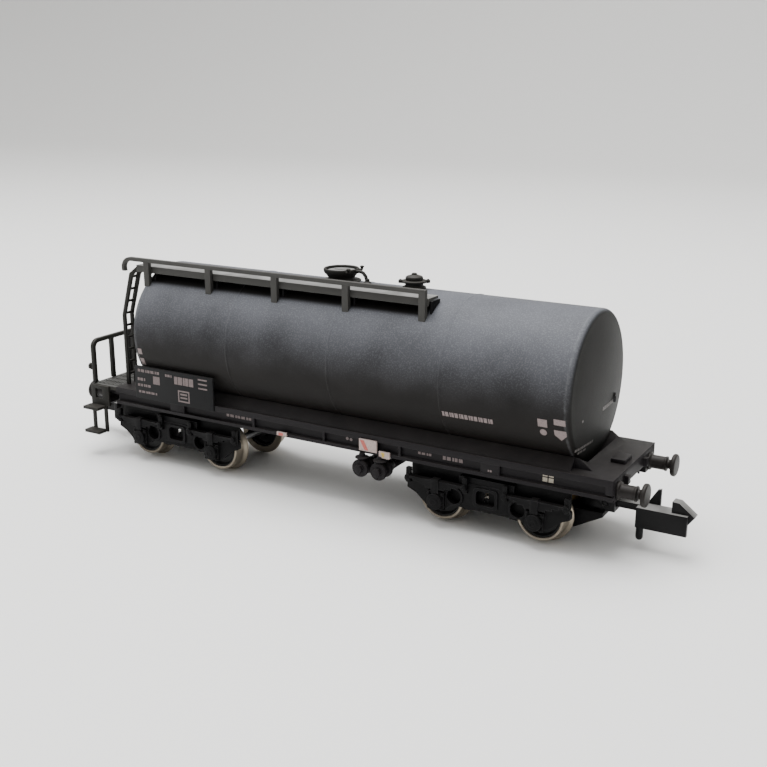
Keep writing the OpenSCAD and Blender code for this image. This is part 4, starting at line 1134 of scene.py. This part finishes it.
class WAGON_OT_bogies(Piece, bpy.types.Operator):
    """Finish the bogie frames, and build their axlebox covers, leaf springs, hangers and dark inner panels
    that stand for shade below the deck
    """

    bl_idname = "wagon.bogies"
    bl_label = "Bogies"

    def execute(self, context):
        for end in ("right", "left"):
            softened("bogie_frame_" + end, bogie_finish(), sizes().fine_edge)
            softened("brake_gear_" + end, bogie_finish(), sizes().fine_edge)
            for node, material in (("pivot_bush_" + end, brass_finish()),
                                   ("centring_spring_" + end, brass_finish()),
                                   ("pivot_screw_" + end, steel_finish())):
                frame["nodes"][node].data.materials.clear()
                frame["nodes"][node].data.materials.append(material)
            self.covers(end)
            self.sides(end)
        return {"FINISHED"}

    def sides(self, end):
        """The leaf springs, the rims round the frame's openings, and dark inner panels below the deck that
        fill a region of partly painted shade and hide the wheels' tops.
        """
        low, high, middle = span("bogie_frame_" + end)
        wheels = [span(f"axle_{n}")[2] for n in ((1, 2) if end == "right" else (3, 4))]
        face = (high[1] - low[1]) / 2 - 1.0
        centre, axle_z = (wheels[0][0] + wheels[1][0]) / 2, wheels[0][2]
        window_z = axle_z + 1.36
        top = span("brake_platform")[1][2] - 2.6
        shapes = []
        for way in (1, -1):
            for axle in wheels:
                shapes += self.spring(axle[0], axle_z, face, way, top)
                inward = axle[0] + (2.25 if axle[0] < centre else -2.25)
                rims = [disc(inward, axle_z + 0.86, radius, 28) for radius in (1.15, 0.93)]
                shapes.append(frame_ring(*rims, *sorted((way * (face - 0.1), way * (face + 0.14)))))
            window = [rounded_outline(rectangle(centre - a, centre + a, window_z - b, window_z + b), 0.5, 6)
                      for a, b in ((1.55, 1.2), (1.22, 0.87))]
            shapes.append(frame_ring(*window, *sorted((way * (face - 0.1), way * (face + 0.16)))))
            # Dark inner panels: a guess that fills the partly shaded region between the bogie and the deck
            # and hides the wheels' tops.
            y = sorted((way * (face - 0.98), way * (face - 0.78)))
            shade_panels = [rectangle(centre - 10.15, centre + 10.15, axle_z + 1.9, top)]
            shade_panels += [rectangle(centre + a, centre + b, axle_z - 0.2, axle_z + c)
                       for a, b, c in ((-5.1, -0.5, 1.8), (0.05, 5.1, 1.8), (-0.45, 0, 1.1))]
            shapes += [plate(rounded_outline(panel, 0.15), *y, "y", 0.03) for panel in shade_panels]
        piece = build("bogie_springs_" + end, shapes)
        fit(piece, bogie_finish(), "bogie_" + end)

    def spring(self, x, z, face, way, top):
        """Five leaves, the pins and hangers at their ends, and the buckle round their middle. A leaf's upper
        edge is a parabola: it falls by 0.30 mm times the square of the distance from its middle over the half
        length of the longest leaf."""
        longest = sizes().spring_half
        along = np.linspace(-1, 1, 13)
        shapes = []
        for leaf, half in enumerate((longest, 3.1, 2.4, 1.7, 1.1)):
            bow = z + 2.62 - 0.16 * leaf - 0.30 * (along * half / longest) ** 2
            outline = np.vstack([np.stack([x + along * half, bow], axis=-1),
                                 np.stack([x - along * half, bow[::-1] - 0.13], axis=-1)])
            y = sorted((way * face, way * (face + 0.62 - 0.03 * leaf)))
            shapes.append(plate(outline, *y, "y", 0.03))
        for tip in (x - longest, x + longest):
            pin = rounded_profile([(0, face - 0.1), (0.36, face - 0.1), (0.36, face + 0.72),
                                   (0.2, face + 0.8), (0, face + 0.8)], 0.05)
            pin[:, 1] *= way
            shapes.append(turned(pin, (tip, 0, z + 2.25), "y", 18))
            y = sorted((way * (face - 0.1), way * (face + 0.4)))
            hanger = [(tip - 0.32, z + 1.6), (tip + 0.32, z + 1.6), (tip + 0.3, top - 0.5),
                      (tip - 0.3, top - 0.5)]
            shapes.append(plate(rounded_outline(hanger, 0.15), *y, "y", 0.05))
        y = sorted((way * (face - 0.1), way * (face + 0.78)))
        buckle = rounded_outline(rectangle(x - 0.5, x + 0.5, z + 1.15, z + 2.8), 0.1)
        shapes.append(plate(buckle, *y, "y", 0.06))
        return shapes

    def covers(self, end):
        """Turned covers over the four axle ends, each with four bolts."""
        shapes = []
        low, high, middle = span("bogie_frame_" + end)
        out = (high[1] - low[1]) / 2
        wheels = (1, 2) if end == "right" else (3, 4)
        cover = rounded_profile([(0, -0.35), (0.98, -0.35), (1.0, -0.12), (0.86, -0.04), (0.6, -0.02),
                                 (0.52, 0.05), (0.3, 0.07), (0.26, 0.02), (0, 0.0)], 0.06)
        bolt = rounded_profile([(0, -0.55), (0.2, -0.55), (0.2, -0.38), (0.1, -0.3), (0, -0.29)], 0.04)
        for number in wheels:
            axle = span(f"axle_{number}")[2]
            for way in (1, -1):
                face = cover.copy()
                face[:, 1] = way * (out + face[:, 1] - 0.02)
                shapes.append(turned(face, (axle[0], 0, axle[2]), "y", 40))
                head = bolt.copy()
                head[:, 1] = way * (out + head[:, 1])
                for angle in np.radians(np.arange(45, 405, 90)):
                    place = (axle[0] + 1.25 * math.cos(angle), 0, axle[2] + 1.25 * math.sin(angle))
                    shapes.append(turned(head, place, "y", 14))
        piece = build("axlebox_covers_" + end, shapes)
        fit(piece, bogie_finish(), "bogie_" + end)


class WAGON_OT_wheelsets(Piece, bpy.types.Operator):
    """Build the four wheelsets: metal rims with flanges, dished black centres and turned axles"""

    bl_idname = "wagon.wheelsets"
    bl_label = "Wheelsets"

    def execute(self, context):
        for number in range(1, 5):
            low, high, middle = span(f"wheel_tyres_{number}")
            flange, out = (high[0] - low[0]) / 2, high[1]
            tread = flange - sizes().flange_h
            inside = tread - sizes().wheel_rim
            back = out - sizes().wheel_w
            flange_t = sizes().flange_t
            rim = np.vstack([
                [(inside, back)], [(flange - 0.2, back)], arc((flange - 0.16, back + 0.16), 0.16, -80, 0, 5),
                arc((flange - 0.12, back + 0.26), 0.12, 0, 60, 5), [(tread + 0.14, back + flange_t - 0.06)],
                [(tread + 0.03, back + flange_t + 0.08), (tread, back + flange_t + 0.25),
                 (tread - 0.06, out - 0.2), (tread - 0.12, out - 0.06), (tread - 0.2, out),
                 (inside + 0.12, out), (inside, out - 0.1)]])
            wheel = turned(rim, (middle[0], 0, middle[2]), "y", sizes().turns, closed=True)
            piece = build(f"wheel_rims_{number}", [wheel, mirrored(wheel, "y")], 45)
            body = f"wheelset_{number}"
            fit(piece, nickel_finish(), body, [f"wheel_tyres_{number}"])
            self.centre(number, middle, inside, back, out, body)
            self.axle(number, body)
        return {"FINISHED"}

    def centre(self, number, middle, inside, back, out, body):
        half = (back + out) / 2
        hub = 1.0
        dish = rounded_profile(
            [(0.55, back), (hub, back), (hub + 0.15, half - 0.35), (inside - 0.4, half - 0.3),
             (inside - 0.28, back + 0.3), (inside, back + 0.3), (inside, out - 0.22),
             (inside - 0.22, out - 0.22), (inside - 0.36, half + 0.3),
             (hub + 0.2, half + 0.2), (hub, out - 0.1), (hub - 0.1, out - 0.05), (0.55, out - 0.05)], 0.08)
        wheel = turned(dish, (middle[0], 0, middle[2]), "y", 96, closed=True)
        piece = build(f"wheel_dishes_{number}", [wheel, mirrored(wheel, "y")], 50)
        material = finish("Wheel black", (0.012, 0.012, 0.012), (0.05, 0.05, 0.05), 0.3, 0.1, 0.4)
        fit(piece, material, body, [f"wheel_centres_{number}"])

    def axle(self, number, body):
        low, high, middle = span(f"axle_{number}")
        radius = (high[0] - low[0]) / 2
        end, shoulder = high[1], high[1] - 0.9
        half = rounded_profile([(radius * 0.9, 0), (radius * 0.9, 2.6), (radius, 2.8), (radius, shoulder),
                                (0.42, shoulder), (0.42, end - 0.15), (0.2, end), (0, end)], 0.08)
        other = half[::-1] * np.array([1, -1])
        shaft = turned(np.vstack([other, half[1:]]), (middle[0], 0, middle[2]), "y", 32)
        piece = build(f"axle_turned_{number}", [shaft])
        fit(piece, steel_finish(), body, [f"axle_{number}"])


class WAGON_OT_couplers(Piece, bpy.types.Operator):
    """Finish the coupler pockets and the hook couplers"""

    bl_idname = "wagon.couplers"
    bl_label = "Couplers"

    def execute(self, context):
        for end in ("right", "left"):
            softened("coupler_pocket_" + end, coupler_finish(), sizes().fine_edge)
            softened("coupler_" + end, coupler_finish(), sizes().fine_edge)
        return {"FINISHED"}


# ---------------------------------------------------------------- stage


class WagonStage(bpy.types.PropertyGroup):
    """The camera and the lights."""

    azimuth: FloatProperty(name="Azimuth", description="Turn of the camera round the wagon",
                           default=math.radians(30.46), subtype="ANGLE")
    elevation: FloatProperty(name="Elevation", description="Height angle of the camera",
                             default=math.radians(16.07), subtype="ANGLE")
    distance: FloatProperty(name="Distance", description="Camera distance in metres", default=0.13903,
                            unit="LENGTH")
    lens: FloatProperty(name="Lens", description="Focal length on a 36 mm sensor", default=51.6,
                        unit="CAMERA")
    aim_right: FloatProperty(name="Aim, right", description="Aim past the wagon's middle, in millimetres",
                             default=5.369)
    aim_share: FloatProperty(name="Aim, height", description="Aim height as a share of the wagon's",
                             default=0.4966)
    sky: FloatProperty(name="Sky", description="Strength of the even light", default=1.0)
    key: FloatProperty(name="Key", description="Power of the overhead light in watts", default=3.2)
    side: FloatProperty(name="Side", description="Power of the window light in watts", default=0.6)


class WAGON_OT_stage(Piece, bpy.types.Operator):
    """Make the pale floor that curves up behind, the soft lights and the camera"""

    bl_idname = "wagon.stage"
    bl_label = "Stage"

    def execute(self, context):
        self.floor()
        self.lights(context)
        self.camera(context)
        return {"FINISHED"}

    def floor(self):
        """A flat floor whose back edge turns up through a quarter circle into a wall."""
        front, back, bend, wall, half = -700, 450, 260, 500, 1100
        curve = arc((back, bend), bend, -90, 0, 16)
        profile = np.vstack([[(front, 0)], curve, [(back + bend, bend + wall)]])
        x = np.linspace(-half, half, 3)
        points = np.empty((len(profile), len(x), 3))
        points[..., 0] = x
        points[..., 1] = profile[:, None, 0]
        points[..., 2] = profile[:, None, 1] - 0.01
        piece = build("studio_floor", [grid(points)])
        piece.data.flip_normals()
        material, tree, shader, where = new_material("Studio floor")
        texture = group_node(tree, "Fine grain", {"Vector": where, "Grain": 900.0, "Speck Share": 0.6})
        tint = tuple(paint().floor)
        shade = blend(tree, texture.outputs["Cloud"], tint, tuple(0.985 * c for c in tint))
        tree.links.new(shade, shader.inputs["Base Color"])
        rough(tree, shader, texture.outputs["Cloud"], 0.6, 0.75)
        piece.data.materials.append(material)

    def lights(self, context):
        stage = context.scene.wagon_stage
        world = bpy.data.worlds.new("Studio")
        context.scene.world = world
        world.use_nodes = True
        sky = world.node_tree.nodes["Background"]
        sky.inputs["Color"].default_value = (0.975, 0.98, 0.975, 1.0)
        tree = world.node_tree
        where = add(tree, "TexCoord")
        parts = add(tree, "SeparateXYZ", {"Vector": where.outputs["Generated"]})
        rise = add(tree, "MapRange", {"Value": parts.outputs["Z"], "From Min": 0.0, "From Max": 0.9,
                                      "To Min": 0.03 * stage.sky, "To Max": 1.5 * stage.sky})
        seen = add(tree, "LightPath")
        backdrop = add(tree, "Math", {0: seen.outputs["Is Camera Ray"], 1: 0.62 * stage.sky},
                       operation="MULTIPLY")
        strength = add(tree, "Math", {0: rise.outputs["Result"], 1: backdrop.outputs[0]}, operation="MAXIMUM")
        tree.links.new(strength.outputs[0], sky.inputs["Strength"])
        aim = Vector((0.0, 0.0, 0.015))
        rows = (
            ("overhead", (-0.07, 0.02, 0.42), 0.34, stage.key, (0.98, 0.99, 1.0)),
            ("window", (-0.42, -0.16, 0.30), 0.30, stage.side, (0.96, 0.98, 1.0)),
        )
        for name, place, size, power, tint in rows:
            light = bpy.data.lights.new(name, "AREA")
            light.shape = "SQUARE"
            light.size = size
            light.energy = power
            light.color = tint
            lamp = bpy.data.objects.new(name, light)
            lamp.location = place
            lamp.rotation_euler = (aim - Vector(place)).to_track_quat("-Z", "Y").to_euler()
            context.scene.collection.objects.link(lamp)

    def camera(self, context):
        stage = context.scene.wagon_stage
        height = CAD_BOX[1][2] - CAD_BOX[0][2]
        target = Vector((stage.aim_right * MM, 0, stage.aim_share * height))
        level = math.cos(stage.elevation)
        out = Vector((math.sin(stage.azimuth) * level, -math.cos(stage.azimuth) * level,
                      math.sin(stage.elevation)))
        data = bpy.data.cameras.new("camera")
        data.lens = stage.lens
        data.sensor_width = 36
        data.clip_start = 0.001
        view = bpy.data.objects.new("camera", data)
        view.location = target + out * stage.distance
        view.rotation_euler = (-out).to_track_quat("-Z", "Y").to_euler()
        context.scene.collection.objects.link(view)
        context.scene.camera = view


# ---------------------------------------------------------------- add-on

STEPS = (
    WAGON_OT_stage,
    WAGON_OT_tank,
    WAGON_OT_manhole,
    WAGON_OT_vent_valve,
    WAGON_OT_walkway,
    WAGON_OT_underframe,
    WAGON_OT_platform,
    WAGON_OT_boards,
    WAGON_OT_marks,
    WAGON_OT_drain_valves,
    WAGON_OT_buffers,
    WAGON_OT_bogies,
    WAGON_OT_wheelsets,
    WAGON_OT_couplers,
)


class WAGON_PT_panel(bpy.types.Panel):
    """Lists the wagon's operators and settings in the sidebar"""

    bl_idname = "WAGON_PT_panel"
    bl_label = "Tank wagon"
    bl_space_type = "VIEW_3D"
    bl_region_type = "UI"
    bl_category = "Wagon"

    def draw(self, context):
        for step in STEPS:
            self.layout.operator(step.bl_idname)
        for settings in (context.scene.wagon_paint, context.scene.wagon_sizes, context.scene.wagon_stage):
            box = self.layout.box()
            for name in settings.__annotations__:
                box.prop(settings, name)


GROUPS = (("wagon_paint", WagonPaint), ("wagon_sizes", WagonSizes), ("wagon_stage", WagonStage))


def register():
    for name, kind in GROUPS:
        bpy.utils.register_class(kind)
        setattr(bpy.types.Scene, name, PointerProperty(type=kind))
    for kind in (*STEPS, WAGON_PT_panel):
        bpy.utils.register_class(kind)


def unregister():
    for kind in (WAGON_PT_panel, *reversed(STEPS)):
        bpy.utils.unregister_class(kind)
    for name, kind in reversed(GROUPS):
        delattr(bpy.types.Scene, name)
        bpy.utils.unregister_class(kind)


def main():
    register()
    for step in STEPS:
        group, name = step.bl_idname.split(".")
        if getattr(getattr(bpy.ops, group), name)() != {"FINISHED"}:
            raise RuntimeError(step.bl_label + " was not built")


if __name__ == "__main__":
    main()
